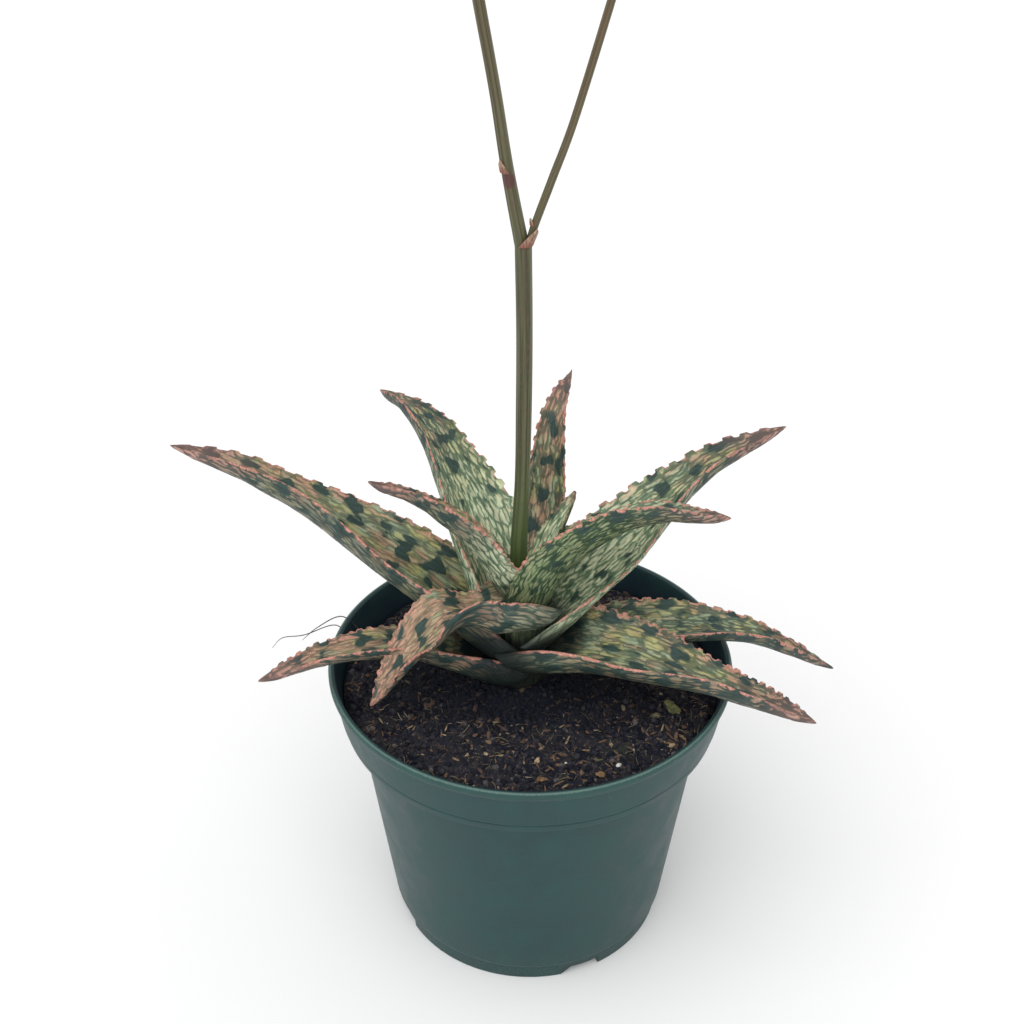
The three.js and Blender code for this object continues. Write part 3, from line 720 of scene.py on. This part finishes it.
def foot_notch(azimuth):
    """The block that a drainage notch is cut with: one end of the notch is a ramp."""
    outline = [[-8.4, -1], [8.4, -1], [8.4, 4], [-4.4, 4], [-8.4, 0.5]]
    outward, left = compass(azimuth)
    rings = [[reach * outward + side * left + z * UP for side, z in outline]
             for reach in (FOOT_RADIUS - 6, FOOT_RADIUS + 4)]
    return new_object("notch", *closed_form(np.array(rings)))


def drain(azimuth):
    """The plug that a drainage hole is cut with."""
    x, y, _ = DRAIN_REACH * compass(azimuth)[0]
    turn = full_turn(32)
    z = np.array([[-10], [10]])
    rings = stacked(x + DRAIN_RADIUS * np.cos(turn), y + DRAIN_RADIUS * np.sin(turn), z)
    return new_object("drain", *closed_form(rings))


def pot():
    profile = rounded([
        [0, 0, 0], [38, 0, 0.4], [40, 2.5, 0.4], [51.5, 2.5, 0.4], [52.5, 0, 0.3],
        [FOOT_RADIUS, 0, 0.6], [FOOT_RADIUS + 0.6, FOOT_HEIGHT - 1.4, 0.4],
        [WALL_FOOT_RADIUS, FOOT_HEIGHT, 1.2],
        [WALL_TOP_RADIUS, BAND_FOOT, 0.6], [BAND_FOOT_RADIUS, BAND_FOOT, 0.6],
        [BAND_FOOT_RADIUS + 0.7, BAND_FOOT + 3.2, 0.25], [BAND_FOOT_RADIUS + 0.5, BAND_FOOT + 3.7, 0.25],
        [BAND_FOOT_RADIUS + 1.2, BAND_FOOT + 4.4, 0.4],
        [RIM_RADIUS - 1.3, POT_HEIGHT - 4.2, 0.5], [RIM_RADIUS, POT_HEIGHT - 2.8, 0.9],
        [RIM_RADIUS, POT_HEIGHT, 1.1], [RIM_RADIUS - 2.4, POT_HEIGHT, 0.9],
        [BAND_FOOT_RADIUS - WALL, BAND_FOOT + WALL, 0.5],
        [WALL_TOP_RADIUS - WALL, BAND_FOOT + WALL - 0.3, 0.5],
        [wall_radius(FOOT_HEIGHT + 2) - WALL, FOOT_HEIGHT + 2, 1],
        [54, 4.7, 0.8], [40, 4.7, 0.4], [38, 2.2, 0.4], [0, 2.2, 0],
    ])
    piece = turned("pot_shell", profile, POT_SEGMENTS)
    cutters = []
    for azimuth in range(NOTCH_AZIMUTH, NOTCH_AZIMUTH + 360, 90):
        cutters += [foot_notch(azimuth), drain(azimuth + 45)]
    for cutter in cutters:
        cut = piece.modifiers.new("cut", "BOOLEAN")
        cut.operation = "DIFFERENCE"
        cut.solver = "EXACT"
        cut.object = cutter
    made_plain(piece)
    for cutter in cutters:
        bpy.data.objects.remove(cutter)
    piece.data.shade_smooth()
    settle(piece, pot_plastic(), "pot")


# Soil

def soil_height(x, y):
    """The uneven top of the soil: gentle swells, clods and crumbs."""
    swell = 0.9 * np.sin(x / 13 + 0.7) * np.cos(y / 11) + 0.5 * np.sin(x / 6 - y / 7 + 2)
    clods = 0.9 * lumps(x, y, 5.5, 3) + 0.7 * lumps(x, y, 2.6, 4)
    crumbs = 0.6 * np.abs(lumps(x, y, 1.3, 5))
    mound = 2.2 * smooth((24 - np.hypot(x - STEM_X, y)) / 14)
    rim = smooth((SOIL_EDGE - np.hypot(x, y)) / 3)
    return SOIL_TOP + swell + (clods + crumbs) * (0.3 + 0.7 * rim) + mound - 1.6 * (1 - rim)


def soil_sheet(count, radius, rise=0.0):
    """The top of the soil as a square grid of points pressed into a disc, so that its cells stay
    even, and its faces."""
    side = np.linspace(-1, 1, count)
    a, b = np.meshgrid(side, side, indexing="ij")
    wide = np.abs(a) > np.abs(b)
    r = np.where(wide, a, b)
    safe = np.where(r == 0, 1, r)
    turn = np.where(wide, math.pi / 4 * b / safe, math.pi / 2 - math.pi / 4 * a / safe)
    x, y = radius * r * np.cos(turn), radius * r * np.sin(turn)
    return stacked(x, y, soil_height(x, y) + rise).reshape(-1, 3), grid_faces(count, count)


def painted_rosette_shade(place):
    """How much painted shade the rosette lays on the soil: most beside the stem, under the leaves."""
    x, y, _ = place.parts()
    x = x * 0.55 + -STEM_X * 0.55
    away = (x.math("POWER", 2.0) + y.math("POWER", 2.0)).math("SQRT")
    return (place.noise(0.05, 3.0, 0.6) * 18.0 + away).step(54.0, 28.0, 0.0, 0.75)


def soil_skin():
    """Moist peat: blue-black with browner crumbs, a breath of moss, fine pale grit and painted shade under
    the leaves.
    """
    nodes = Finish("dark_peat", (36, 38, 46), 0.9, 0.3)
    place = nodes.place()
    crumb, crumb_colour = place.cells(0.75)
    grain, grain_colour = place.cells(1.5)
    clod = place.noise(0.09, 4.0, 0.65)
    grit = place.noise(1.1, 4.0, 0.7)
    moss = place.noise(0.06, 3.0, 0.6)
    pick, _, _ = crumb_colour.parts()
    fleck, tint, _ = grain_colour.parts()
    pale = fleck.step(0.93, 0.96) * grain.step(0.4, 0.2, 0.0, 0.8)
    colour = coats(
        (17, 22, 37),
        (clod.step(0.38, 0.62), (42, 42, 50)),
        (pick.step(0.6, 0.95, 0.0, 0.7), (72, 64, 62)),
        (moss.step(0.58, 0.68, 0.0, 0.4), (56, 66, 52)),
        (grit.step(0.45, 0.25, 0.0, 0.7), (12, 15, 24)),
        (pale, tint.between((98, 88, 76), (156, 148, 132))),
        # Painted shade under the leaves, darkest beside the stem.
        (painted_rosette_shade(place), (9, 15, 30)),
    )
    return nodes.made(colour, grit - crumb * 0.5, 1.0, 0.8)


def soil():
    """The whole body of soil, from its uneven top down to the floor of the pot."""
    points, faces = soil_sheet(SOIL_GRID, SOIL_EDGE)
    grid = np.arange(SOIL_GRID**2).reshape(SOIL_GRID, SOIL_GRID)
    border = np.r_[grid[:-1, 0], grid[-1, :-1], grid[:0:-1, -1], grid[0, :0:-1]]
    turn = np.arctan2(points[border, 1], points[border, 0])
    profile = [[74, 104], [68.4, 103.5], [wall_radius(FOOT_HEIGHT + 2) - 2.2, FOOT_HEIGHT + 2.4],
               [53.6, 5.1], [39.8, 5.1], [37.6, 2.6]]
    r, z = np.array(profile).T[..., None]
    sides = stacked(r * np.cos(turn), r * np.sin(turn), z)
    bottom = len(points) + len(profile) * len(border)
    lower = np.arange(len(points), bottom).reshape(len(profile), -1)
    rings = np.vstack([border, lower])
    before = np.roll(rings, 1, 1)
    faces += np.stack([before[:-1], rings[:-1], rings[1:], before[1:]], -1).reshape(-1, 4).tolist()
    faces += [[int(a), int(b), bottom] for a, b in zip(before[-1], rings[-1])]
    piece = new_object("soil_fill", np.vstack([points, sides.reshape(-1, 3), [0, 0, 2.6]]), faces)
    face_outward(piece)
    settle(piece, soil_skin(), "soil")


# What lies on the soil

def strewing_tree():
    """Strews copies of a small piece over a surface, each turned, sized and toned at random."""
    nodes, given, sockets = new_tree("strewn_on_soil", {
        "Ground": "Geometry", "Piece": "Object", "Density": "Float", "Smallest": "Float",
        "Largest": "Float", "Tilt": "Float", "Seed": "Int", "Finish": "Material"})
    seed = given["Seed"]
    points = nodes.value("GeometryNodeDistributePointsOnFaces", {
        "Mesh": given["Ground"], "Density": given["Density"], "Seed": seed})
    shape = nodes.value("GeometryNodeObjectInfo", {"Object": given["Piece"]}, "Geometry")
    reach = nodes.value("ShaderNodeCombineXYZ", {0: given["Tilt"], 1: given["Tilt"], 2: math.pi})
    tilt = nodes.value("FunctionNodeRandomValue", {"Min": reach * (-1, -1, -1), "Max": reach, "Seed": seed},
                       data_type="FLOAT_VECTOR")
    size = nodes.value("FunctionNodeRandomValue", {2: given["Smallest"], 3: given["Largest"], "Seed": seed},
                       1, data_type="FLOAT")
    placed = nodes.value("GeometryNodeInstanceOnPoints", {
        "Points": points, "Instance": shape, "Rotation": tilt, "Scale": size})
    tone = nodes.value("FunctionNodeRandomValue", {"Seed": 77}, 1, data_type="FLOAT")
    toned = nodes.value("GeometryNodeStoreNamedAttribute", {
        "Geometry": placed, "Name": "tone", "Value": tone}, data_type="FLOAT", domain="INSTANCE")
    solid = nodes.value("GeometryNodeRealizeInstances", {"Geometry": toned})
    finished = nodes.value("GeometryNodeSetMaterial", {"Geometry": solid, "Material": given["Finish"]})
    nodes.add("NodeGroupOutput", {0: finished})
    return nodes.tree, sockets


def bit_finish(name, dark, light, pale):
    """A finish for what is strewn on the soil: each piece takes its own tone, with painted shade under the
    leaves.
    """
    nodes = Finish(name, light, 0.85, 0.3)
    tone = nodes.attribute("tone", "Fac")
    place = nodes.place()
    fibre = place.noise(2.0, 3.0, 0.6)
    # The last coat is painted shade under the leaves, darkest beside the stem.
    colour = coats(dark, (tone.step(0.1, 0.8), light), (tone.step(0.86, 0.98), pale),
                   (fibre.step(0.4, 0.7, 0.0, 0.6), dark), (painted_rosette_shade(place), (12, 18, 32)))
    return nodes.made(colour, fibre, 0.5, 0.6)


def plain_finish(name, dark, light, scale):
    """A dull finish that wanders between two colours."""
    nodes = Finish(name, light, 0.85, 0.3)
    wander = nodes.place().noise(scale, 3.0, 0.6)
    return nodes.made(wander.step(0.35, 0.65).between(dark, light), wander, 0.4, 0.6)


def lump_shape(name, length, width, height, seed, sides=7, rings=4):
    """A small irregular lump about the origin."""
    rough = np.random.default_rng(seed).uniform(0.75, 1.15, (rings - 1, sides))[::-1]
    down = math.pi * np.arange(rings - 1, 0, -1)[:, None] / rings
    turn = full_turn(sides)
    x = length / 2 * np.sin(down) * np.cos(turn) * rough
    y = width / 2 * np.sin(down) * np.sin(turn) * rough
    return new_object(name, *closed_form(stacked(x, y, height / 2 * np.cos(down)),
                                         UP * -height / 2, UP * height / 2))


def thread(name, line, radius, sides):
    """A round thread along a line, thinner towards its pointed ends."""
    radii = radius * (1 - 0.6 * np.abs(np.linspace(-1, 1, len(line))) ** 3)
    return new_object(name, *tube(line, radii[:, None], sides, ODD, line[0], line[-1]))


def fibre_shape(name, length, radius, seed):
    """A short bent fibre about the origin."""
    bend = np.random.default_rng(seed).uniform(-0.25, 0.25, (3, 3))
    t = np.linspace(0, 1, 9)
    line = stacked((t - 0.5) * length,
                   length * (bend[0, 0] * np.sin(3 * t) + bend[0, 1] * np.sin(6 * t)) * 0.5,
                   length * (0.12 * np.sin(math.pi * t) + bend[1, 0] * 0.2 * np.sin(5 * t)))
    return thread(name, line - line.mean(0), radius, 4)


def litter():
    """Crumbs, bark, fibres and pale grit all over the soil, one plain mesh of each kind. A kind
    has its piece, finish, count per square millimetre, sizes, tilt and seed."""
    tree, sockets = strewing_tree()
    bark = bit_finish("bark_bits", (44, 40, 44), (124, 98, 78), (186, 164, 130))
    straw = bit_finish("dry_fibres", (66, 62, 58), (130, 120, 98), (184, 174, 146))
    peat = bit_finish("peat_crumbs", (18, 22, 35), (54, 53, 62), (108, 102, 98))
    grit = bit_finish("pale_grit", (84, 78, 72), (122, 114, 102), (176, 170, 156))
    for name, piece, finish, density, smallest, largest, tilt, seed in [
        ("peat_crumb_bits", lump_shape("a", 2.1, 1.6, 1.3, 1), peat, 0.12, 0.5, 1.8, 3.1, 11),
        ("bark_chip_bits", lump_shape("b", 3.8, 1.7, 0.8, 2), bark, 0.04, 0.4, 1.4, 0.8, 12),
        ("bark_splinter_bits", lump_shape("c", 5.4, 0.8, 0.6, 3), bark, 0.045, 0.4, 1.3, 0.6, 13),
        ("fibre_bits", fibre_shape("d", 6.5, 0.16, 4), straw, 0.016, 0.5, 1.4, 0.4, 14),
        ("curled_fibre_bits", fibre_shape("e", 4.5, 0.15, 9), straw, 0.018, 0.5, 1.4, 0.5, 15),
        ("pale_grit_bits", lump_shape("f", 0.9, 0.7, 0.6, 5, 5, 3), grit, 0.05, 0.4, 1.2, 3.1, 16),
    ]:
        ground = new_object(name, *soil_sheet(STREWN_GRID, SOIL_EDGE - 2.5, 0.1))
        run_tree(ground, tree, sockets, {
            "Piece": piece, "Density": density / MM**2, "Smallest": smallest, "Largest": largest,
            "Tilt": tilt, "Seed": seed, "Finish": finish})
        settle(ground, None)
        bpy.data.objects.remove(piece)


def laid(piece, finish, x, y, turn, tilt, rise):
    """Lays a piece on the soil, turned and tilted in degrees, its middle rise above the soil."""
    spot = Matrix.Translation((x * MM, y * MM, (float(soil_height(x, y)) + rise) * MM))
    spin = Matrix.Rotation(math.radians(turn), 4, "Z") @ Matrix.Rotation(math.radians(tilt), 4, "Y")
    piece.data.transform(spot @ spin)
    settle(piece, finish)


def strand(name, finish, radius, rise, route):
    """A thin root, twig or thread. A point of its route without a height lies rise above the soil."""
    points = [[x, y, *(z or [float(soil_height(x, y)) + rise])] for x, y, *z in route]
    line, _ = walk_evenly(along(points, np.linspace(0, 1, 80)), 0.8)
    settle(thread(name, line, radius, 6), finish)


def lone_bits():
    """The single things that show on the soil: two white grains, bark chips, a dry leaf scrap
    with a flake beside it, twigs, a green thread and dark roots that reach over the rim."""
    white, bark, dry, olive, twig, green, root = [
        plain_finish(name, dark, light, scale) for name, dark, light, scale in [
            ("white_grain", (196, 196, 190), (236, 236, 230), 1.0),
            ("tan_bark", (96, 74, 58), (150, 118, 84), 0.8),
            ("dry_leaf_scrap", (88, 90, 58), (140, 138, 90), 0.5),
            ("olive_flake", (84, 82, 62), (128, 120, 90), 0.7),
            ("tan_twig", (84, 66, 52), (146, 122, 90), 0.9),
            ("green_thread", (72, 98, 64), (112, 138, 92), 1.0),
            ("dark_root", (40, 38, 42), (84, 74, 70), 1.0),
        ]]
    laid(lump_shape("white_grain_front", 2.6, 2, 1.6, 31), white, 33, -52.8, 20, 0, 0.6)
    laid(lump_shape("white_grain_small", 1.3, 1, 0.9, 32), white, 13.1, -50, 0, 0, 0.4)
    laid(lump_shape("bark_chip_front", 4.6, 4, 1.1, 33, 11), bark, 26, -58.3, 35, 8, 0.5)
    laid(lump_shape("bark_chip_left", 4.4, 2.4, 0.9, 34, 9), bark, 4, -61, -20, -6, 0.4)
    laid(lump_shape("dry_leaf_scrap", 10.5, 5, 0.9, 35, 15), dry, 56.3, -20.5, -58, 10, 0.9)
    laid(lump_shape("olive_flake", 4.6, 3.8, 0.8, 36, 9), olive, 49.4, -24.4, 15, -8, 0.5)
    strand("curved_twig", twig, 0.75, 0.5, [[57, -35.6], [59, -37.4], [59.5, -40], [58.4, -43]])
    strand("straight_twig", twig, 0.5, 0.5, [[48.4, -38], [52, -39.6], [56.5, -41.4]])
    strand("pale_sliver", white, 0.35, 0.6, [[57.5, -45.8], [61, -43.2], [65, -40.4]])
    strand("green_thread", green, 0.28, 0.4, [[22.8, -48.2], [25, -49.6], [27, -50.8]])
    strand("brown_root", root, 0.3, 0.4, [[16, -55], [21, -58.4], [24, -57], [29, -61.5]])
    strand("root_over_rim", root, 0.22, 0, [[-68, 24, 113.6], [-73, 24.5, 122], [-79, 24.5, 126.4],
                                            [-88, 20, 124], [-94, 16, 120.5]])
    strand("far_root_over_rim", root, 0.2, 0, [[-72, 20, 113.6], [-77.4, 19.4, 123.5], [-82, 18.6, 126.2],
                                               [-93, 16, 123.2], [-102, 15.6, 122], [-106, 12, 119.5]])


# Stem, stalk and bracts

def stem():
    """The short thick stem, pale between the scars of old leaves, with painted shade darkening it below the
    leaves.
    """
    profile = [[0, 96], [6.5, 96], [8.2, 100], [9, 115.5], [11.6, 119.5], [12, 124], [11.4, 133],
               [10.2, 142], [8.4, 149], [6, 154], [0, 154]]
    nodes = Finish("stem_base", (70, 80, 50), 0.7, 0.3)
    scars = nodes.place((900, 900, 160)).noise(1.0, 3.0)
    _, _, z = nodes.place().parts()
    # The last coat is painted shade, darkening the stem below a height of 148 mm.
    colour = coats((58, 76, 58), (scars.step(0.35, 0.65), (132, 142, 102)),
                   (z.step(148.0, 138.0, 0.0, 0.9), (20, 26, 28)))
    skin = nodes.made(colour, scars, 0.6, 0.6)
    settle(turned("stem_core", profile, 40, STEM_X), skin, "stem")


def stalk_skin():
    """Olive green, paler along its left and right, greener at the foot and redder up the side
    shoot, with a maroon patch where the bract of the main shoot sits."""
    nodes = Finish("stalk_skin", (98, 100, 70), 0.5, 0.4)
    s, turn, redness = nodes.attribute("stalk_share").parts()
    place = nodes.place()
    _, _, z = place.parts()
    round_place = nodes.value("ShaderNodeCombineXYZ", {0: turn.math("COSINE"), 1: turn.math("SINE"),
                                                       2: s * 0.004})
    lines = round_place.noise(3.6, 3.0, 0.6)
    mottle = place.noise(0.6, 3.0, 0.6)
    side = turn.math("COSINE").math("ABSOLUTE")
    patch = place.math("DISTANCE", (-8.6, -2.2, 324.4))
    colour = coats(
        (50, 56, 34),
        (lines.step(0.38, 0.64), (98, 104, 70)),
        (mottle.step(0.45, 0.7, 0.0, 0.5), (94, 72, 56)),
        (side.step(0.72, 0.98, 0.0, 0.45), (112, 116, 98)),
        (side.step(0.5, 0.2, 0.0, 0.35), (78, 72, 54)),
        (z.step(235.0, 165.0, 0.0, 0.6), (70, 98, 48)),
        (redness * 0.5, (138, 92, 76)),
        (patch.step(3.4, 1.8, 0.0, 0.85), (84, 48, 48)),
    )
    return nodes.made(colour, lines + mottle * 0.3, 0.3, 0.6)


def fork_line(stations, count):
    """[x, y, z, radius] at places along stations that lie in the plane of the fork."""
    return np.insert(along(stations, np.linspace(0, 1, count)), 1, 0, axis=1)


def shoot(stations, sides, redness):
    """Points, faces and shares of a shoot with shallow grooves along it."""
    line, places = walk_evenly(fork_line(stations, 300), SHOOT_STEP)
    turn = full_turn(sides)
    groove = 1 + 0.022 * np.cos(turn * 9) + 0.012 * np.cos(turn * 17 + 1)
    redder = np.interp(places, [0, places[-1]], redness)
    points, faces = tube(line[:, :3], line[:, 3:] * groove, sides, BACK)
    return points, faces, stacked(places[:, None], turn, redder[:, None])


def joined(parts):
    """Several (points, faces, shares) forms as one."""
    points, faces, shares = np.empty((0, 3)), [], np.empty((0, 3))
    for part_points, part_faces, part_shares in parts:
        faces += [[len(points) + k for k in face] for face in part_faces]
        points = np.vstack([points, part_points])
        shares = np.vstack([shares, part_shares.reshape(-1, 3)])
    return points, faces, shares


def flower_stalk():
    points, faces, share = joined([shoot(STALK, 44, [0, 0.1]), shoot(MAIN_SHOOT, 36, [0.05, 0.3]),
                                   shoot(SIDE_SHOOT, 30, [0.15, 0.5])])
    piece = new_object("flower_stalk_skin", points, faces, {"stalk_share": share})
    settle(piece, stalk_skin(), "flower_stalk")


def bract_paper():
    """Brown at the foot and paler towards the point, with darker veins."""
    nodes = Finish("bract_paper", (182, 142, 116), 0.75, 0.25)
    height, _, _ = nodes.attribute("bract_share").parts()
    veins = nodes.place((3000, 3000, 500)).noise(0.6)
    colour = coats((138, 96, 80), (height.step(0.0, 0.9), (186, 160, 138)),
                   (veins.step(0.45, 0.65, 0.0, 0.7), (104, 72, 62)))
    return nodes.made(colour, veins, 0.3, 0.6)


def bract(name, paper):
    """A thin papery scale that hugs its shoot and ends in a point."""
    spec = BRACTS[name]
    t = np.linspace(0, 1, 24)[:, None]
    v = np.linspace(-1, 1, 17)
    angle = v * math.radians(spec["wrap"]) * (1 - t**1.3) * (1 + 0.1 * t)
    flare = 0.35 * t**2 * (0.4 + 0.6 * np.abs(v))
    outer, inner = [stacked((spec["radius"] + thickness + flare) * np.cos(angle),
                            (spec["radius"] + thickness + flare) * np.sin(angle), t * spec["height"])
                    for thickness in (0.3, -0.2)]
    rings = np.concatenate([outer, inner[:, ::-1]], 1) @ np.array([*compass(spec["azimuth"]), UP])
    rings[..., 0] += rings[..., 2] * math.tan(math.radians(spec["lean"]))
    piece = new_object(name + "_scale", *closed_form(rings + spec["foot"]),
                       {"bract_share": stacked(t, np.zeros(rings.shape[1]), 0)})
    face_outward(piece)
    settle(piece, paper, name)


# Flowers

def petal_skin():
    """Coral tubes that pale to cream with green stripes towards the mouth."""
    nodes = Finish("coral_petals", (222, 118, 88), 0.45, 0.4)
    t, turn, age = nodes.attribute("flower_share").parts()
    stripe = (turn * 6.0).math("COSINE").step(0.3, 0.9)
    bud = t.step(0.3, 0.9).between((190, 100, 78), (120, 132, 90))
    colour = coats(
        (216, 98, 76),
        (t.step(0.35, 0.95), (236, 178, 140)),
        (stripe * t.step(0.6, 0.95) * 0.7, (128, 142, 88)),
        (t.step(0.34, 0.26), (150, 96, 74)),
        (age.step(0.45, 0.2), bud),
    )
    return nodes.made(colour, stripe, 0.15, 0.5)


def flower(root, azimuth, age):
    """One flower on its bent stalk: a swollen six-ribbed tube, or a short upright bud."""
    out, side = compass(azimuth)
    dip = math.radians(72 - 120 * smooth(age))
    length = 6 + 15 * smooth(age * 1.3)
    girth = 1.1 + 1.4 * smooth(age * 1.5)
    bend = root + out * (3 + 6 * age) + UP * 3
    end = bend + out * math.cos(dip) * length + UP * math.sin(dip) * length
    t = np.r_[np.linspace(0, 0.3, 5), np.linspace(0.34, 0.94, 12), 1.0][:, None]
    line = (1 - t) ** 2 * root + 2 * t * (1 - t) * bend + t**2 * end
    swell = np.interp(t, [0, 0.28, 0.36, 0.5, 0.68, 0.86, 0.95, 1], [0, 0, 0.55, 1, 0.84, 1.0, 0.95, 0.55])
    radii = np.where(t < 0.31, 0.62, np.maximum(swell * girth, 0.6))
    turn = full_turn(FLOWER_SIDES)
    rib = 1 + 0.07 * np.cos(turn * 6) * smooth((t - 0.35) / 0.2)
    points, faces = tube(line, radii * rib, FLOWER_SIDES, side)
    return points, faces, stacked(t, turn, age)


def flower_head(name, axis, flowers, skin):
    """The open flowers lowest, set round the axis by the golden angle."""
    line = fork_line(axis, 60)
    core, core_faces = tube(line[:, :3], line[:, 3:], 16, BACK)
    parts = [(core, core_faces, stacked(0.2, np.zeros(len(core)), 1))]
    for k in range(flowers):
        share = k / (flowers - 1)
        x, z, _ = along(axis, 0.06 + 0.9 * share)[0]
        parts.append(flower(np.array([x, 0, z]), k * GOLDEN_ANGLE, 1 - share))
    points, faces, share = joined(parts)
    piece = new_object(name + "_blooms", points, faces, {"flower_share": share})
    settle(piece, skin, name)


# Camera, light and floor

def linked(name, data):
    thing = bpy.data.objects.new(name, data)
    bpy.context.scene.collection.objects.link(thing)
    return thing


def camera():
    """Looks down at the plant from in front, as a close portrait of it does."""
    data = bpy.data.cameras.new("view_of_plant")
    data.sensor_width = SENSOR
    data.lens = SENSOR * FOCAL_SHARE
    data.clip_start = 0.01
    data.clip_end = 50
    eye = linked("view_of_plant", data)
    eye.location = [value * MM for value in CAMERA_PLACE]
    eye.rotation_euler = (math.radians(90 + CAMERA_PITCH), 0, 0)
    bpy.context.scene.camera = eye


def studio():
    """An even white room with a wide soft light from above, a weak one from in front, and a
    white paper floor."""
    world = bpy.data.worlds.new("soft_room")
    world.use_nodes = True
    room = world.node_tree.nodes["Background"].inputs
    room["Color"].default_value = (1, 1, 1, 1)
    room["Strength"].default_value = 0.7
    scene = bpy.context.scene
    scene.world = world
    scene.view_settings.view_transform = "Standard"
    for name, energy, forward, sideways in SUNS:
        data = bpy.data.lights.new(name, "SUN")
        data.energy = energy
        data.angle = math.radians(SUN_SPREAD)
        linked(name, data).rotation_euler = (math.radians(forward), math.radians(sideways), 0)
    floor = bpy.data.meshes.new("floor")
    half = FLOOR_HALF * MM
    corners = [(-half, -half, 0), (half, -half, 0), (half, half, 0), (-half, half, 0)]
    floor.from_pydata(corners, [], [(0, 1, 2, 3)])
    floor.materials.append(Finish("white_paper", [PAPER_WHITE] * 3, 0.9, 0.1).material)
    ground = linked("floor", floor)


camera()
studio()
pot()
soil()
litter()
lone_bits()
stem()
skin = leaf_skin()
relief = relief_tree()
for number, name in enumerate(LEAVES):
    leaf(name, number, skin, relief)
flower_stalk()
paper = bract_paper()
for name in BRACTS:
    bract(name, paper)
petals = petal_skin()
flower_head("flower_head_main", MAIN_AXIS, 16, petals)
flower_head("flower_head_side", SIDE_AXIS, 10, petals)
